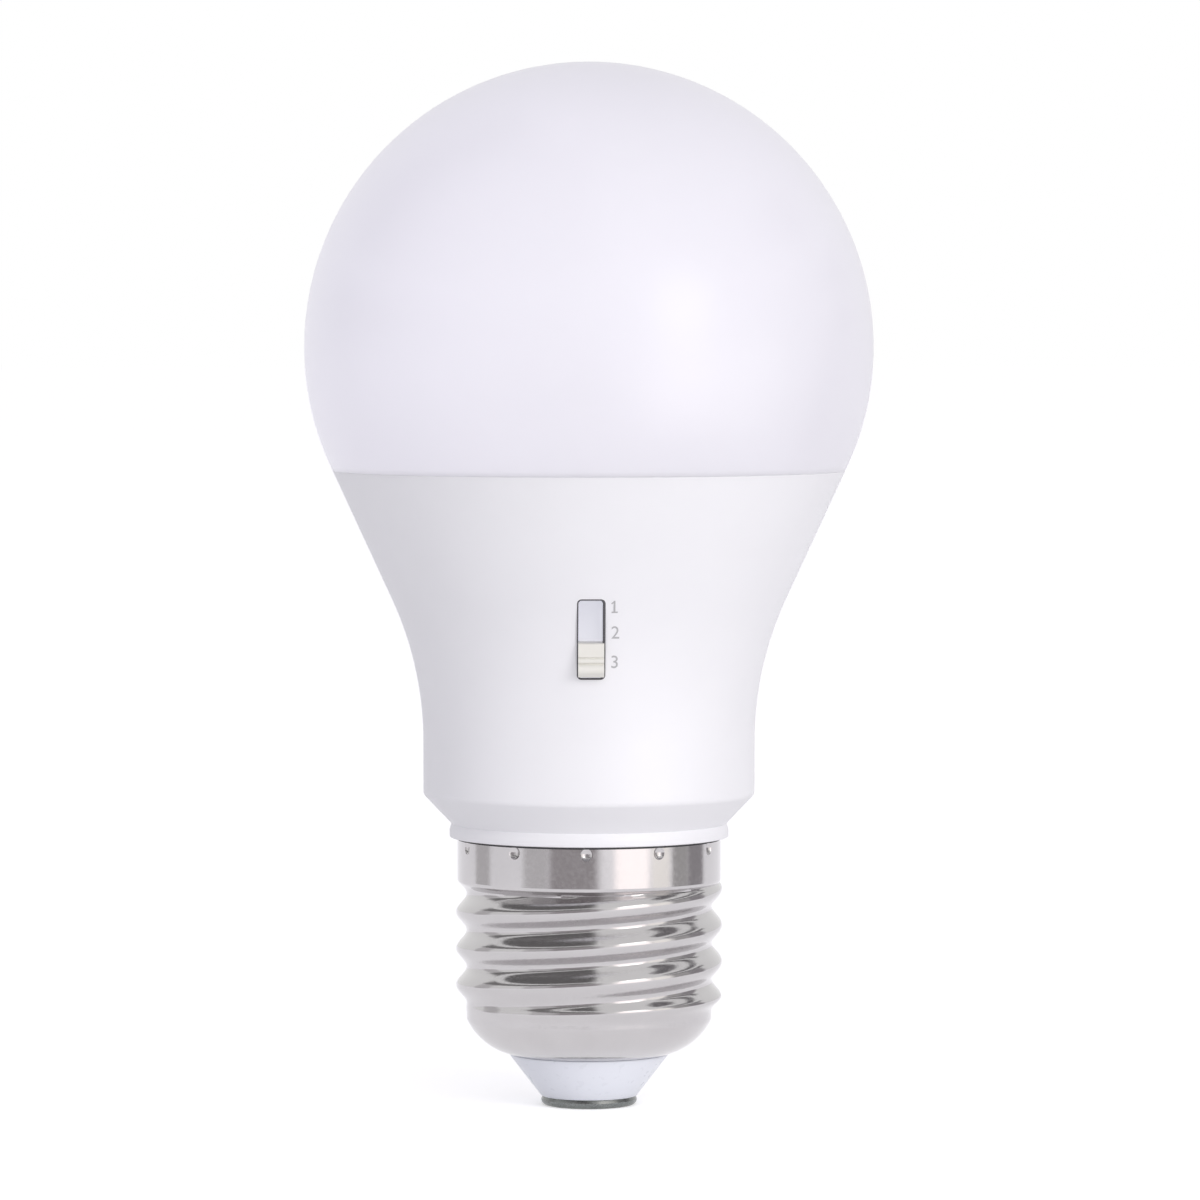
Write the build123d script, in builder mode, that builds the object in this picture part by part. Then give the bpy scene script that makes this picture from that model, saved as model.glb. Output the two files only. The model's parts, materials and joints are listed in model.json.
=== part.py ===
from build123d import *
import math
import os

os.makedirs("parts", exist_ok=True)

# A bulb with a globe diffuser, a moulded housing with a three-way slide switch, and an E27 screw cap.
# Millimetres. Z runs up along the lamp axis from the underside of the centre contact, and the
# switch faces -Y.

# Clearances
seat = 0.1
spigot_seat = 0.15
running = 0.12
joint_gap = 0.1
edge_break = 0.15

# Centre contact, a disc on a hollow shank
contact_radius = 4.75
contact_height = 0.9
contact_rounding = 0.45
shank_radius = 1.6
shank_bore = 0.6
shank_height = 8.6
shank_solid = 2.0

# Cap insulator
insulator_height = 4.3
insulator_step = 0.1
insulator_shoulder = 0.25
insulator_flange = 2.6
insulator_flange_thickness = 1.2
hub_wall = 1.3

# Screw shell, E27 thread of 3.629 mm pitch with its turns drawn as rolled rings
sheet = 0.35
thread_pitch = 3.629
thread_crest = 13.1
thread_depth = 0.95
ring_count = 3
ring_foot = 1.2
ring_waist = 0.6
ring_crown = 0.25
roll_tuck = 0.45
cone_reach = 4.05
cone_height = 3.7
cone_rounding = 1.2
band_height = 0.6
band_to_thread = 1.24
shoulder_height = 0.8
skirt_height = 4.0
dent_count = 11
dent_start = -91
dent_ball = 0.9
dent_depth = 0.25
dent_drop = 1.1

# Housing
wall = 1.5
collar_height = 4.4
collar_step = 0.4
bead_swell = 0.3
bead_foot = 0.15
bead_height = 1.3
neck_step = 2.9
neck_rounding = 0.8
neck_height = 5.2
flare_height = 26.8
flare_bend = 0.7554
spigot_wall = 1.1
spigot_lift = 0.3
lip_wall = 0.9
skirt_depth = 2.4
notch_width = 1.6
notch_height = 3.2

# Globe diffuser
globe_radius = 28.1
globe_cut_angle = 25.7
globe_wall = 1.3
globe_ledge = 1.2

# Slide switch, three positions
step_travel = 2.0
slot_share = 0.4113
slot_width = 2.75
slot_play = 0.3
slot_corner = 0.45
boss_wall = 1.2
knob_height = 3.3
knob_reach = 0.9
knob_crown = 0.3
knob_ridge = 1.05
knob_rib = 0.45
groove_width = 0.18
groove_depth = 0.12
shutter_thickness = 0.4
shutter_margin = 0.9
shutter_room = 0.3
frame_sheet = 0.3
switch_width = 5.6
switch_length = 12.6
carrier_length = 4.0
carrier_depth = 1.6
clip_sheet = 0.2
clip_bump = 0.25
clip_width = 1.6
base_depth = 1.8
stem_side = 1.4
stem_grip = 1.6
terminal_count = 4
terminal_width = 0.8
terminal_thickness = 0.5
terminal_tail = 0.8

# Driver board and the housing's guides for it
board_thickness = 1.2
board_edge_room = 1.0
board_lift = 0.3
board_top_room = 0.5
fin_thickness = 1.1
fin_grip = 1.2
stop_height = 2.5

# Parts on the driver board
lead_radius = 0.3
lead_tail = 0.7
lead_room = 0.1
row_gap = 0.5
part_room = 0.3
bulk_radius = 4.0
bulk_length = 12.0
bulk_pitch = 3.5
coil_radius = 4.0
coil_waist = 3.3
coil_length = 9.0
coil_flange = 1.2
film_width = 4.0
film_height = 7.0
film_depth = 7.0
film_pitch = 5.0
output_radius = 2.5
output_length = 8.0
output_pitch = 2.0
bridge_width = 3.9
bridge_height = 4.7
bridge_depth = 2.4
chip_width = 3.9
chip_height = 4.9
chip_depth = 1.5
chip_leg_count = 4
leg_length = 0.9
leg_width = 0.45
leg_sheet = 0.25
fuse_radius = 1.0
fuse_length = 4.4
fuse_pitch = 6.8
resistor_width = 1.6
resistor_length = 3.2
resistor_depth = 0.55
resistor_spacing = 4.0
resistor_rows = 3

# Header and socket between the two boards
header_pitch = 2.0
header_pins_count = 4
header_depth = 2.5
header_height = 2.5
pin_side = 0.6
socket_height = 3.0

# Light source
sink_wall = 1.0
sink_rim = 1.6
flange_thickness = 1.2
flange_bore = 11.0
led_board_thickness = 1.2
led_board_room = 0.3
led_length = 3.5
led_width = 2.8
led_height = 0.8
led_window = 1.1
led_window_depth = 0.2
leds_per_colour = 6
led_colours = ["pink", "orange", "purple"]
led_room = 0.4
screw_radius = 1.25
screw_head_radius = 2.2
screw_head_height = 1.4
screw_cross = 0.5
screw_count = 2
boss_radius = 2.0
boss_height = 2.6

# Hook-up wires
wire_radius = 0.5
wire_offset = 3.0
live_share = 0.4
neutral_start = 1.4
neutral_entry = 2.2
neutral_entry_share = 0.54
neutral_climb = 10.0
neutral_climb_share = 0.6

# Heights up the cap
shell_bottom = contact_height + insulator_height
cone_top = shell_bottom + cone_height
band_top = cone_top + band_height
thread_bottom = band_top + band_to_thread
thread_top = thread_bottom + ring_count * thread_pitch
skirt_bottom = thread_top + shoulder_height
shell_top = skirt_bottom + skirt_height
thread_root = thread_crest - thread_depth
edge_radius = thread_root - cone_reach
spigot_bottom = thread_bottom + spigot_lift
spigot_radius = thread_root - sheet - spigot_seat
spigot_bore = spigot_radius - spigot_wall
shell_slope = cone_height / cone_reach
shell_stretch = math.sqrt(1 + shell_slope**2)

# Heights up the housing
collar_radius = thread_crest + collar_step
neck_radius = collar_radius + neck_step
collar_bottom = shell_top + joint_gap
bead_top = collar_bottom + bead_height
neck_bottom = collar_bottom + collar_height
neck_top = neck_bottom + neck_height
neck_inner = neck_radius - wall
seam_height = neck_top + flare_height
rebate_floor = seam_height - skirt_depth
slot_middle = neck_top + slot_share * flare_height
collar_slope = (neck_bottom - bead_top) / (neck_radius - collar_radius)

# Globe
globe_cut = math.radians(globe_cut_angle)
seam_radius = globe_radius * math.cos(globe_cut)
globe_centre = seam_height + globe_radius * math.sin(globe_cut)

# Flare of the housing: an arc off the neck, a share of the largest that fits, then a cone up to the seam
flare_slope = (seam_radius - neck_radius) / flare_height
flare = 2 * math.atan(flare_slope / (1 + math.sqrt((1 - flare_bend) * (1 + flare_slope**2))))
blend_radius = flare_bend * flare_height * (1 + flare_slope**2) / (2 * flare_slope)


def cone_start(inset):
    """Height where the flare's arc, moved inwards by inset, becomes its cone."""
    return neck_top + (blend_radius + inset) * math.sin(flare)


def flare_radius(height, inset):
    """Radius at a height of the housing's outer surface moved inwards by inset."""
    if height <= neck_top:
        return neck_radius - inset
    if height <= cone_start(inset):
        rise = height - neck_top
        return neck_radius + blend_radius - math.sqrt((blend_radius + inset) ** 2 - rise**2)
    return seam_radius - (seam_height - height) * math.tan(flare) - inset / math.cos(flare)


def flare_line(inset, top):
    """Draw the flare moved inwards by inset, from the top of the neck to a height on the cone."""
    CenterArc((neck_radius + blend_radius, neck_top), blend_radius + inset, 180, -math.degrees(flare))
    Line((flare_radius(cone_start(inset), inset), cone_start(inset)), (flare_radius(top, inset), top))


def shell_line(inset):
    """Draw the outer form of the screw shell moved inwards by inset, from its edge up to its rim."""
    tuck = inset * roll_tuck
    root = thread_root - inset
    flank = [(0, ring_foot - tuck), (thread_depth / 2, ring_waist - tuck), (thread_depth, ring_crown - tuck)]
    FilletPolyline(
        (edge_radius - inset * shell_slope / shell_stretch, shell_bottom + inset / shell_stretch),
        (root, cone_top + inset * (shell_stretch - shell_slope)),
        (root, band_top),
        radius=cone_rounding - inset,
    )
    rolled = [(root, band_top)]
    for turn in range(ring_count):
        middle = thread_bottom + (turn + 0.5) * thread_pitch
        rolled += [(root + rise, middle - half_width) for rise, half_width in flank]
        rolled += [(root + rise, middle + half_width) for rise, half_width in reversed(flank)]
    skirt = thread_crest - inset
    Polyline(*rolled, (root, thread_top + tuck), (skirt, skirt_bottom + tuck), (skirt, shell_top))


# Screw shell: thin sheet rolled inside and out, punched to the housing below its rim
with BuildPart() as screw_shell:
    with BuildSketch(Plane.XZ):
        with BuildLine():
            shell_line(0)
            Line((thread_crest, shell_top), (thread_crest - sheet, shell_top))
            shell_line(sheet)
            Line(
                (edge_radius, shell_bottom),
                (edge_radius - sheet * shell_slope / shell_stretch, shell_bottom + sheet / shell_stretch),
            )
        make_face()
    revolve(axis=Axis.Z)
    with PolarLocations(thread_crest + dent_ball - dent_depth, dent_count, start_angle=dent_start):
        with Locations((0, 0, shell_top - dent_drop)):
            Sphere(dent_ball, mode=Mode.SUBTRACT)
screw_shell.part.label = "screw_shell"
export_step(screw_shell.part, "parts/screw_shell.step")

# Centre contact: a rounded disc under the insulator, on a shank that grips the live wire
with BuildPart() as centre_contact:
    with BuildSketch():
        Circle(contact_radius)
    extrude(amount=contact_height)
    fillet(centre_contact.edges().group_by(Axis.Z)[0], contact_rounding)
    with BuildSketch(Plane.XY.offset(contact_height)):
        Circle(shank_radius)
    extrude(amount=shank_height)
    with BuildSketch(Plane.XY.offset(contact_height + shank_solid)):
        Circle(shank_bore)
    extrude(amount=shank_height - shank_solid, mode=Mode.SUBTRACT)
centre_contact.part.label = "centre_contact"
export_step(centre_contact.part, "parts/centre_contact.step")

# Cap insulator: the cone that shows, and a flange lying on the shell's cone from inside
flange_lift = (sheet + seat) * shell_stretch
insulator_neck = edge_radius - sheet - seat


def flange_underside(radius):
    """Height of the flange's underside, which follows the inside of the shell's cone."""
    return shell_bottom + (radius - edge_radius) * shell_slope + flange_lift


flange_radius = insulator_neck + insulator_flange * math.cos(math.atan(shell_slope))
flange_top = flange_underside(flange_radius) + insulator_flange_thickness
with BuildPart() as cap_insulator:
    with BuildSketch(Plane.XZ):
        with BuildLine():
            Polyline(
                (shank_radius + seat, contact_height),
                (contact_radius + insulator_step, contact_height),
                (edge_radius - insulator_shoulder, shell_bottom - seat),
                (insulator_neck, shell_bottom - seat),
                (insulator_neck, flange_underside(insulator_neck)),
                (flange_radius, flange_underside(flange_radius)),
                (flange_radius, flange_top),
                (shank_radius + hub_wall, flange_top),
                (shank_radius + hub_wall, contact_height + shank_height),
                (shank_radius + seat, contact_height + shank_height),
                close=True,
            )
        make_face()
    revolve(axis=Axis.Z)
cap_insulator.part.label = "cap_insulator"
export_step(cap_insulator.part, "parts/cap_insulator.step")

# Places along the depth of the slide switch, from the housing's wall in to the driver board
shutter_half = slot_width / 2 + shutter_margin
shutter_front = shutter_room - math.sqrt(neck_inner**2 - shutter_half**2)
shutter_back = shutter_front + shutter_thickness
boss_plane = shutter_front - running
frame_front = shutter_back + running
frame_inner = frame_front + frame_sheet
carrier_front = frame_inner + running
carrier_back = carrier_front + carrier_depth
clip_tip = carrier_back + clip_sheet + clip_bump
base_front = clip_tip + running
board_front = base_front + base_depth
board_back = board_front + board_thickness

# Places of the slider at rest, in its lowest position
slider_rest = slot_middle - step_travel
slot_height = knob_height + 2 * step_travel + 2 * slot_play
boss_top = slot_middle + slot_height / 2 + boss_wall
shutter_half_height = slot_height / 2 + step_travel + shutter_margin

# Light source heights and the heat sink's place
sink_outside = wall + seat
sink_inside = sink_outside + sink_wall
sink_bottom = max(cone_start(sink_outside) + edge_break, boss_top + part_room)
flange_face = rebate_floor - sink_rim
flange_under = flange_face - flange_thickness
led_board_top = flange_face + led_board_thickness
screw_circle = flare_radius(flange_under - boss_height, sink_inside) - boss_radius + seat
led_circle = screw_circle - screw_head_radius - led_room - led_length / 2

# Driver board
board_half = math.sqrt(neck_inner**2 - board_front**2) - board_edge_room
floor_lift = wall * math.sqrt(1 + collar_slope**2)
floor_top = neck_bottom - wall * collar_slope + floor_lift
floor_bottom = neck_bottom - (neck_radius - spigot_bore) * collar_slope + floor_lift
board_bottom = floor_top + board_lift
board_top = flange_under - board_top_room
board_middle = (board_bottom + board_top) / 2
fin_inner = board_half - fin_grip
fin_top = sink_bottom - part_room
rebate_radius = flare_radius(rebate_floor, lip_wall)

# Hollow of the housing, with the board's fins and stops and the boss round the slot left in its wall
with BuildPart() as housing_hollow:
    with BuildSketch(Plane.XZ):
        with BuildLine():
            Polyline(
                (0, spigot_bottom - wall),
                (spigot_bore, spigot_bottom - wall),
                (spigot_bore, floor_bottom),
                (neck_inner, floor_top),
                (neck_inner, neck_top),
            )
            flare_line(wall, rebate_floor)
            Polyline(
                (flare_radius(rebate_floor, wall), rebate_floor),
                (rebate_radius, rebate_floor),
                (rebate_radius, seam_height + wall),
                (0, seam_height + wall),
                (0, spigot_bottom - wall),
            )
        make_face()
    revolve(axis=Axis.Z)
    for side in (-1, 1):
        with BuildSketch(Plane.XY.offset(board_bottom - stop_height)):
            for fin_place in (board_front - running - fin_thickness / 2, board_back + running + fin_thickness / 2):
                with Locations((side * (fin_inner + neck_radius) / 2, fin_place)):
                    Rectangle(neck_radius - fin_inner, fin_thickness)
        extrude(amount=fin_top - board_bottom + stop_height, mode=Mode.SUBTRACT)
        with BuildSketch(Plane.XY.offset(board_bottom - stop_height)):
            with Locations((side * (fin_inner + neck_radius) / 2, (board_front + board_back) / 2)):
                Rectangle(neck_radius - fin_inner, board_thickness + 2 * running + fin_thickness)
        extrude(amount=stop_height, mode=Mode.SUBTRACT)
    with BuildSketch(Plane.XZ.offset(-boss_plane)):
        with Locations((0, slot_middle)):
            Rectangle(slot_width + 2 * boss_wall, slot_height + 2 * boss_wall)
    extrude(amount=globe_radius, mode=Mode.SUBTRACT)

# Housing: one moulding with a flare, a neck, a collar on the cap's rim and a spigot inside the cap
with BuildPart() as housing:
    with BuildSketch(Plane.XZ):
        with BuildLine():
            ThreePointArc(
                (thread_crest + bead_foot, collar_bottom),
                (collar_radius + bead_swell, (collar_bottom + bead_top) / 2),
                (collar_radius, bead_top),
            )
            FilletPolyline(
                (collar_radius, bead_top),
                (neck_radius, neck_bottom),
                (neck_radius, neck_top),
                radius=neck_rounding,
            )
            flare_line(0, seam_height)
            Polyline(
                (seam_radius, seam_height),
                (0, seam_height),
                (0, collar_bottom),
                (thread_crest + bead_foot, collar_bottom),
            )
        make_face()
    revolve(axis=Axis.Z)
    with BuildSketch(Plane.XY.offset(skirt_bottom)):
        Circle(thread_crest - sheet - seat)
    extrude(amount=collar_bottom - skirt_bottom)
    with BuildSketch(Plane.XY.offset(spigot_bottom)):
        Circle(spigot_radius)
    extrude(amount=skirt_bottom - spigot_bottom)
    add(housing_hollow.part, mode=Mode.SUBTRACT)
    with BuildSketch(Plane.XZ.offset(-boss_plane - wall)):
        with Locations((0, slot_middle)):
            RectangleRounded(slot_width, slot_height, slot_corner)
    extrude(amount=globe_radius, mode=Mode.SUBTRACT)
    with BuildSketch(Plane.XZ):
        with Locations((wire_offset, spigot_bottom)):
            Rectangle(notch_width, 2 * notch_height)
    extrude(amount=globe_radius, mode=Mode.SUBTRACT)
    chamfer(housing.edges().group_by(Axis.Z)[-1].sort_by(SortBy.RADIUS)[-1], edge_break)
housing.part.label = "housing"
export_step(housing.part, "parts/housing.step")

# Diffuser: a globe with a ledge on the housing's lip and a skirt inside it
ledge_height = seam_height + globe_ledge
inner_globe = globe_radius - globe_wall
ledge_angle = math.degrees(math.asin((globe_centre - ledge_height) / inner_globe))
ledge_radius = inner_globe * math.cos(math.radians(ledge_angle))
skirt_outer = rebate_radius - seat
skirt_inner = skirt_outer - globe_wall
with BuildPart() as diffuser:
    with BuildSketch(Plane.XZ):
        with BuildLine():
            CenterArc((0, globe_centre), globe_radius, -globe_cut_angle, 90 + globe_cut_angle)
            Line((0, globe_centre + globe_radius), (0, globe_centre + inner_globe))
            CenterArc((0, globe_centre), inner_globe, 90, -90 - ledge_angle)
            Polyline(
                (ledge_radius, ledge_height),
                (skirt_inner, ledge_height),
                (skirt_inner, rebate_floor),
                (skirt_outer, rebate_floor),
                (skirt_outer, seam_height),
                (seam_radius, seam_height),
            )
        make_face()
    revolve(axis=Axis.Z)
    seam_edges = diffuser.edges().filter_by(GeomType.CIRCLE).filter_by_position(Axis.Z, seam_height, seam_height)
    chamfer(seam_edges.sort_by(SortBy.RADIUS)[-1], edge_break)
diffuser.part.label = "diffuser"
export_step(diffuser.part, "parts/diffuser.step")

# Heat sink: a pressed cup inside the flare, with a flange and two screw bosses for the light board
with BuildPart() as heat_sink:
    with BuildSketch(Plane.XZ):
        with BuildLine():
            Polyline(
                (flare_radius(sink_bottom, sink_outside), sink_bottom),
                (flare_radius(rebate_floor, sink_outside), rebate_floor),
                (flare_radius(rebate_floor, sink_inside), rebate_floor),
                (flare_radius(flange_face, sink_inside), flange_face),
                (flange_bore, flange_face),
                (flange_bore, flange_under),
                (flare_radius(flange_under, sink_inside), flange_under),
                (flare_radius(sink_bottom, sink_inside), sink_bottom),
                close=True,
            )
        make_face()
    revolve(axis=Axis.Z)
    with BuildSketch(Plane.XY.offset(flange_under)):
        with PolarLocations(screw_circle, screw_count):
            Circle(boss_radius)
    extrude(amount=-boss_height)
    with BuildSketch(Plane.XY.offset(flange_face)):
        with PolarLocations(screw_circle, screw_count):
            Circle(screw_radius + seat)
    extrude(amount=-flange_thickness - boss_height, mode=Mode.SUBTRACT)
heat_sink.part.label = "heat_sink"
export_step(heat_sink.part, "parts/heat_sink.step")

# Header pins run up from the driver board through the light board into its socket
header_place = board_back + header_depth / 2
header_width = header_pitch * header_pins_count
pin_room = pin_side + 2 * lead_room
socket_top = led_board_top + socket_height

# Light board, an aluminium disc
with BuildPart() as led_board:
    with BuildSketch(Plane.XY.offset(flange_face)):
        Circle(flare_radius(flange_face, sink_inside) - led_board_room)
        with PolarLocations(screw_circle, screw_count):
            Circle(screw_radius + 2 * seat, mode=Mode.SUBTRACT)
        with Locations((0, header_place)):
            RectangleRounded(header_width, 2 * pin_side, pin_side / 2, mode=Mode.SUBTRACT)
    extrude(amount=led_board_thickness)
led_board.part.label = "led_board"
export_step(led_board.part, "parts/led_board.step")

# Light-emitting chips, one node for each colour, taking turns round the board
led_step = 360 / (leds_per_colour * len(led_colours))
for index, colour in enumerate(led_colours):
    with BuildPart() as leds:
        with BuildSketch(Plane.XY.offset(led_board_top)):
            with PolarLocations(led_circle, leds_per_colour, start_angle=led_step * (index + 0.5)):
                Rectangle(led_length, led_width)
        extrude(amount=led_height)
        with BuildSketch(Plane.XY.offset(led_board_top + led_height)):
            with PolarLocations(led_circle, leds_per_colour, start_angle=led_step * (index + 0.5)):
                Circle(led_window)
        extrude(amount=-led_window_depth, mode=Mode.SUBTRACT)
    leds.part.label = f"leds_{colour}"
    export_step(leds.part, f"parts/leds_{colour}.step")

# Screws that hold the light board down on the heat sink
with BuildPart() as led_board_screws:
    with BuildSketch(Plane.XY.offset(led_board_top)):
        with PolarLocations(screw_circle, screw_count):
            Circle(screw_head_radius)
    extrude(amount=screw_head_height)
    chamfer(led_board_screws.edges().group_by(Axis.Z)[-1], screw_head_height / 3)
    with BuildSketch(Plane.XY.offset(led_board_top)):
        with PolarLocations(screw_circle, screw_count):
            Circle(screw_radius)
    extrude(amount=flange_under - boss_height - led_board_top)
    with BuildSketch(Plane.XY.offset(led_board_top + screw_head_height)):
        with PolarLocations(screw_circle, screw_count):
            Rectangle(2 * screw_radius, screw_cross)
            Rectangle(screw_cross, 2 * screw_radius)
    extrude(amount=-screw_head_height / 2, mode=Mode.SUBTRACT)
led_board_screws.part.label = "led_board_screws"
export_step(led_board_screws.part, "parts/led_board_screws.step")

# Socket on the light board
with BuildPart() as board_socket:
    with BuildSketch(Plane.XY.offset(led_board_top)):
        with Locations((0, header_place)):
            Rectangle(header_width + pin_room, header_depth)
            with GridLocations(header_pitch, 1, header_pins_count, 1):
                Rectangle(pin_room, pin_room, mode=Mode.SUBTRACT)
    extrude(amount=socket_height)
    chamfer(board_socket.edges().filter_by(Axis.X).group_by(Axis.Z)[-1].group_by(SortBy.LENGTH)[-1], edge_break)
board_socket.part.label = "board_socket"
export_step(board_socket.part, "parts/board_socket.step")

# Header on the driver board and its four square pins
with BuildPart() as header_block:
    with BuildSketch(Plane.XY.offset(board_top - header_height)):
        with Locations((0, header_place)):
            Rectangle(header_width, header_depth)
            with GridLocations(header_pitch, 1, header_pins_count, 1):
                Rectangle(pin_room, pin_room, mode=Mode.SUBTRACT)
    extrude(amount=header_height)
header_block.part.label = "header_block"
export_step(header_block.part, "parts/header_block.step")

with BuildPart() as header_pins:
    with BuildSketch(Plane.XY.offset(board_top - header_height)):
        with Locations((0, header_place)):
            with GridLocations(header_pitch, 1, header_pins_count, 1):
                Rectangle(pin_side, pin_side)
    extrude(amount=socket_top - part_room - board_top + header_height)
header_pins.part.label = "header_pins"
export_step(header_pins.part, "parts/header_pins.step")

# Slide switch: a bent steel cover over a moulded base
with BuildPart() as switch_frame:
    with BuildSketch(Plane.XZ.offset(-board_front)):
        with Locations((0, slot_middle)):
            Rectangle(switch_width, switch_length)
    extrude(amount=board_front - frame_front)
    fillet(switch_frame.edges().filter_by(Axis.Z).group_by(Axis.Y)[0], frame_sheet)
    with BuildSketch(Plane.XZ.offset(-board_front)):
        with Locations((0, slot_middle)):
            Rectangle(switch_width - 2 * frame_sheet, switch_length)
    extrude(amount=board_front - frame_inner, mode=Mode.SUBTRACT)
    with BuildSketch(Plane.XZ.offset(-frame_inner)):
        with Locations((0, slot_middle)):
            Rectangle(stem_side + 2 * running, stem_side + 2 * step_travel + 2 * slot_play)
    extrude(amount=frame_sheet, mode=Mode.SUBTRACT)
switch_frame.part.label = "switch_frame"
export_step(switch_frame.part, "parts/switch_frame.step")

# Four terminals a step apart: the clip joins two neighbours at each position
with BuildPart() as switch_base:
    with BuildSketch(Plane.XZ.offset(-board_front)):
        with Locations((0, slot_middle)):
            Rectangle(switch_width - 2 * frame_sheet - seat, switch_length)
            with GridLocations(1, step_travel, 1, terminal_count):
                Rectangle(terminal_width + lead_room, terminal_thickness + lead_room, mode=Mode.SUBTRACT)
    extrude(amount=base_depth)
switch_base.part.label = "switch_base"
export_step(switch_base.part, "parts/switch_base.step")

with BuildPart() as switch_terminals:
    with BuildSketch(Plane.XZ.offset(-board_back - terminal_tail)):
        with Locations((0, slot_middle)):
            with GridLocations(1, step_travel, 1, terminal_count):
                Rectangle(terminal_width, terminal_thickness)
    extrude(amount=board_back + terminal_tail - base_front)
switch_terminals.part.label = "switch_terminals"
export_step(switch_terminals.part, "parts/switch_terminals.step")

# Actuator: a carrier sliding between the cover and the base, with a stem through the cover's slot
stem_tip = shutter_front - stem_grip
with BuildPart() as switch_actuator:
    with BuildSketch(Plane.XZ.offset(-carrier_back)):
        with Locations((0, slider_rest)):
            Rectangle(switch_width - 2 * frame_sheet - 2 * running, carrier_length)
    extrude(amount=carrier_depth)
    with BuildSketch(Plane.XZ.offset(-carrier_front)):
        with Locations((0, slider_rest)):
            Rectangle(stem_side, stem_side)
    extrude(amount=carrier_front - stem_tip)
switch_actuator.part.label = "switch_actuator"
export_step(switch_actuator.part, "parts/switch_actuator.step")

# Contact clip under the carrier, with a rounded bump over each of two terminals
with BuildPart() as switch_contact:
    with BuildSketch(Plane.XZ.offset(-carrier_back - clip_sheet)):
        with Locations((0, slider_rest)):
            Rectangle(2 * clip_width, carrier_length - 2 * part_room)
    extrude(amount=clip_sheet)
    with BuildSketch(Plane.YZ.offset(-clip_width / 2)):
        for terminal_side in (-1, 1):
            with Locations((carrier_back + clip_sheet, slider_rest + terminal_side * step_travel / 2)):
                Circle(clip_bump)
    extrude(amount=clip_width)
    split(bisect_by=Plane.XZ.offset(-carrier_back), keep=Keep.BOTTOM)
switch_contact.part.label = "switch_contact"
export_step(switch_contact.part, "parts/switch_contact.step")

# Dust shutter: a strip carried by the stem that closes the slot wherever the knob stands
with BuildPart() as dust_shutter:
    with BuildSketch(Plane.XZ.offset(-shutter_back)):
        with Locations((0, slider_rest)):
            RectangleRounded(2 * shutter_half, 2 * shutter_half_height, slot_corner)
            Rectangle(stem_side + seat, stem_side + seat, mode=Mode.SUBTRACT)
    extrude(amount=shutter_thickness)
dust_shutter.part.label = "dust_shutter"
export_step(dust_shutter.part, "parts/dust_shutter.step")

# Knob: pushed on the stem, upright face with two grooves and a crowned ridge at its foot
knob_face = -flare_radius(slider_rest, 0) - knob_reach
knob_back = shutter_front
knob_foot = slider_rest - knob_height / 2
knob_top = slider_rest + knob_height / 2
rib_bottom = knob_foot + knob_ridge + groove_width
rib_top = rib_bottom + knob_rib
with BuildPart() as switch_knob:
    with BuildSketch(Plane.YZ.offset(-slot_width / 2 + running)):
        with BuildLine():
            Line((knob_back, knob_foot), (knob_face, knob_foot))
            ThreePointArc(
                (knob_face, knob_foot),
                (knob_face - knob_crown, knob_foot + knob_ridge / 2),
                (knob_face, knob_foot + knob_ridge),
            )
            Polyline(
                (knob_face, knob_foot + knob_ridge),
                (knob_face + groove_depth, knob_foot + knob_ridge),
                (knob_face + groove_depth, rib_bottom),
                (knob_face, rib_bottom),
            )
            ThreePointArc(
                (knob_face, rib_bottom),
                (knob_face - knob_crown / 3, (rib_bottom + rib_top) / 2),
                (knob_face, rib_top),
            )
            Polyline(
                (knob_face, rib_top),
                (knob_face + groove_depth, rib_top),
                (knob_face + groove_depth, rib_top + groove_width),
                (knob_face, rib_top + groove_width),
                (knob_face, knob_top - edge_break),
                (knob_face + edge_break, knob_top),
                (knob_back, knob_top),
                (knob_back, knob_foot),
            )
        make_face()
    extrude(amount=slot_width - 2 * running)
    with BuildSketch(Plane.XZ.offset(-knob_back)):
        with Locations((0, slider_rest)):
            Rectangle(stem_side + seat, stem_side + seat)
    extrude(amount=stem_grip + seat, mode=Mode.SUBTRACT)
switch_knob.part.label = "switch_knob"
export_step(switch_knob.part, "parts/switch_knob.step")

# Rows of the driver board's parts, from its bottom edge up
lower_row = board_bottom + row_gap + bulk_radius
bridge_row = lower_row + bulk_radius + row_gap + bridge_height / 2
film_row = lower_row + coil_radius + row_gap + film_height / 2
chip_row = bridge_row + bridge_height / 2 + row_gap + leg_length + chip_width / 2
output_row = film_row + film_height / 2 + row_gap + output_radius
inner_column = bulk_radius + terminal_width + lead_room
film_column = film_width / 2 + terminal_width + film_width / 2 - lead_room
output_column = header_width / 2 + output_radius + part_room / 2
edge_column = fin_inner - fuse_radius - seat
resistor_column = fin_inner - resistor_width / 2 - seat
resistor_row = slot_middle + resistor_spacing / 2 + seat
lead_drop = board_thickness + lead_tail


def board_spot(across, height):
    """Workplane on the back of the driver board, X across, Z out of the board towards +Y."""
    return Plane(origin=(across, board_back, height), x_dir=(1, 0, 0), z_dir=(0, 1, 0))


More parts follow.
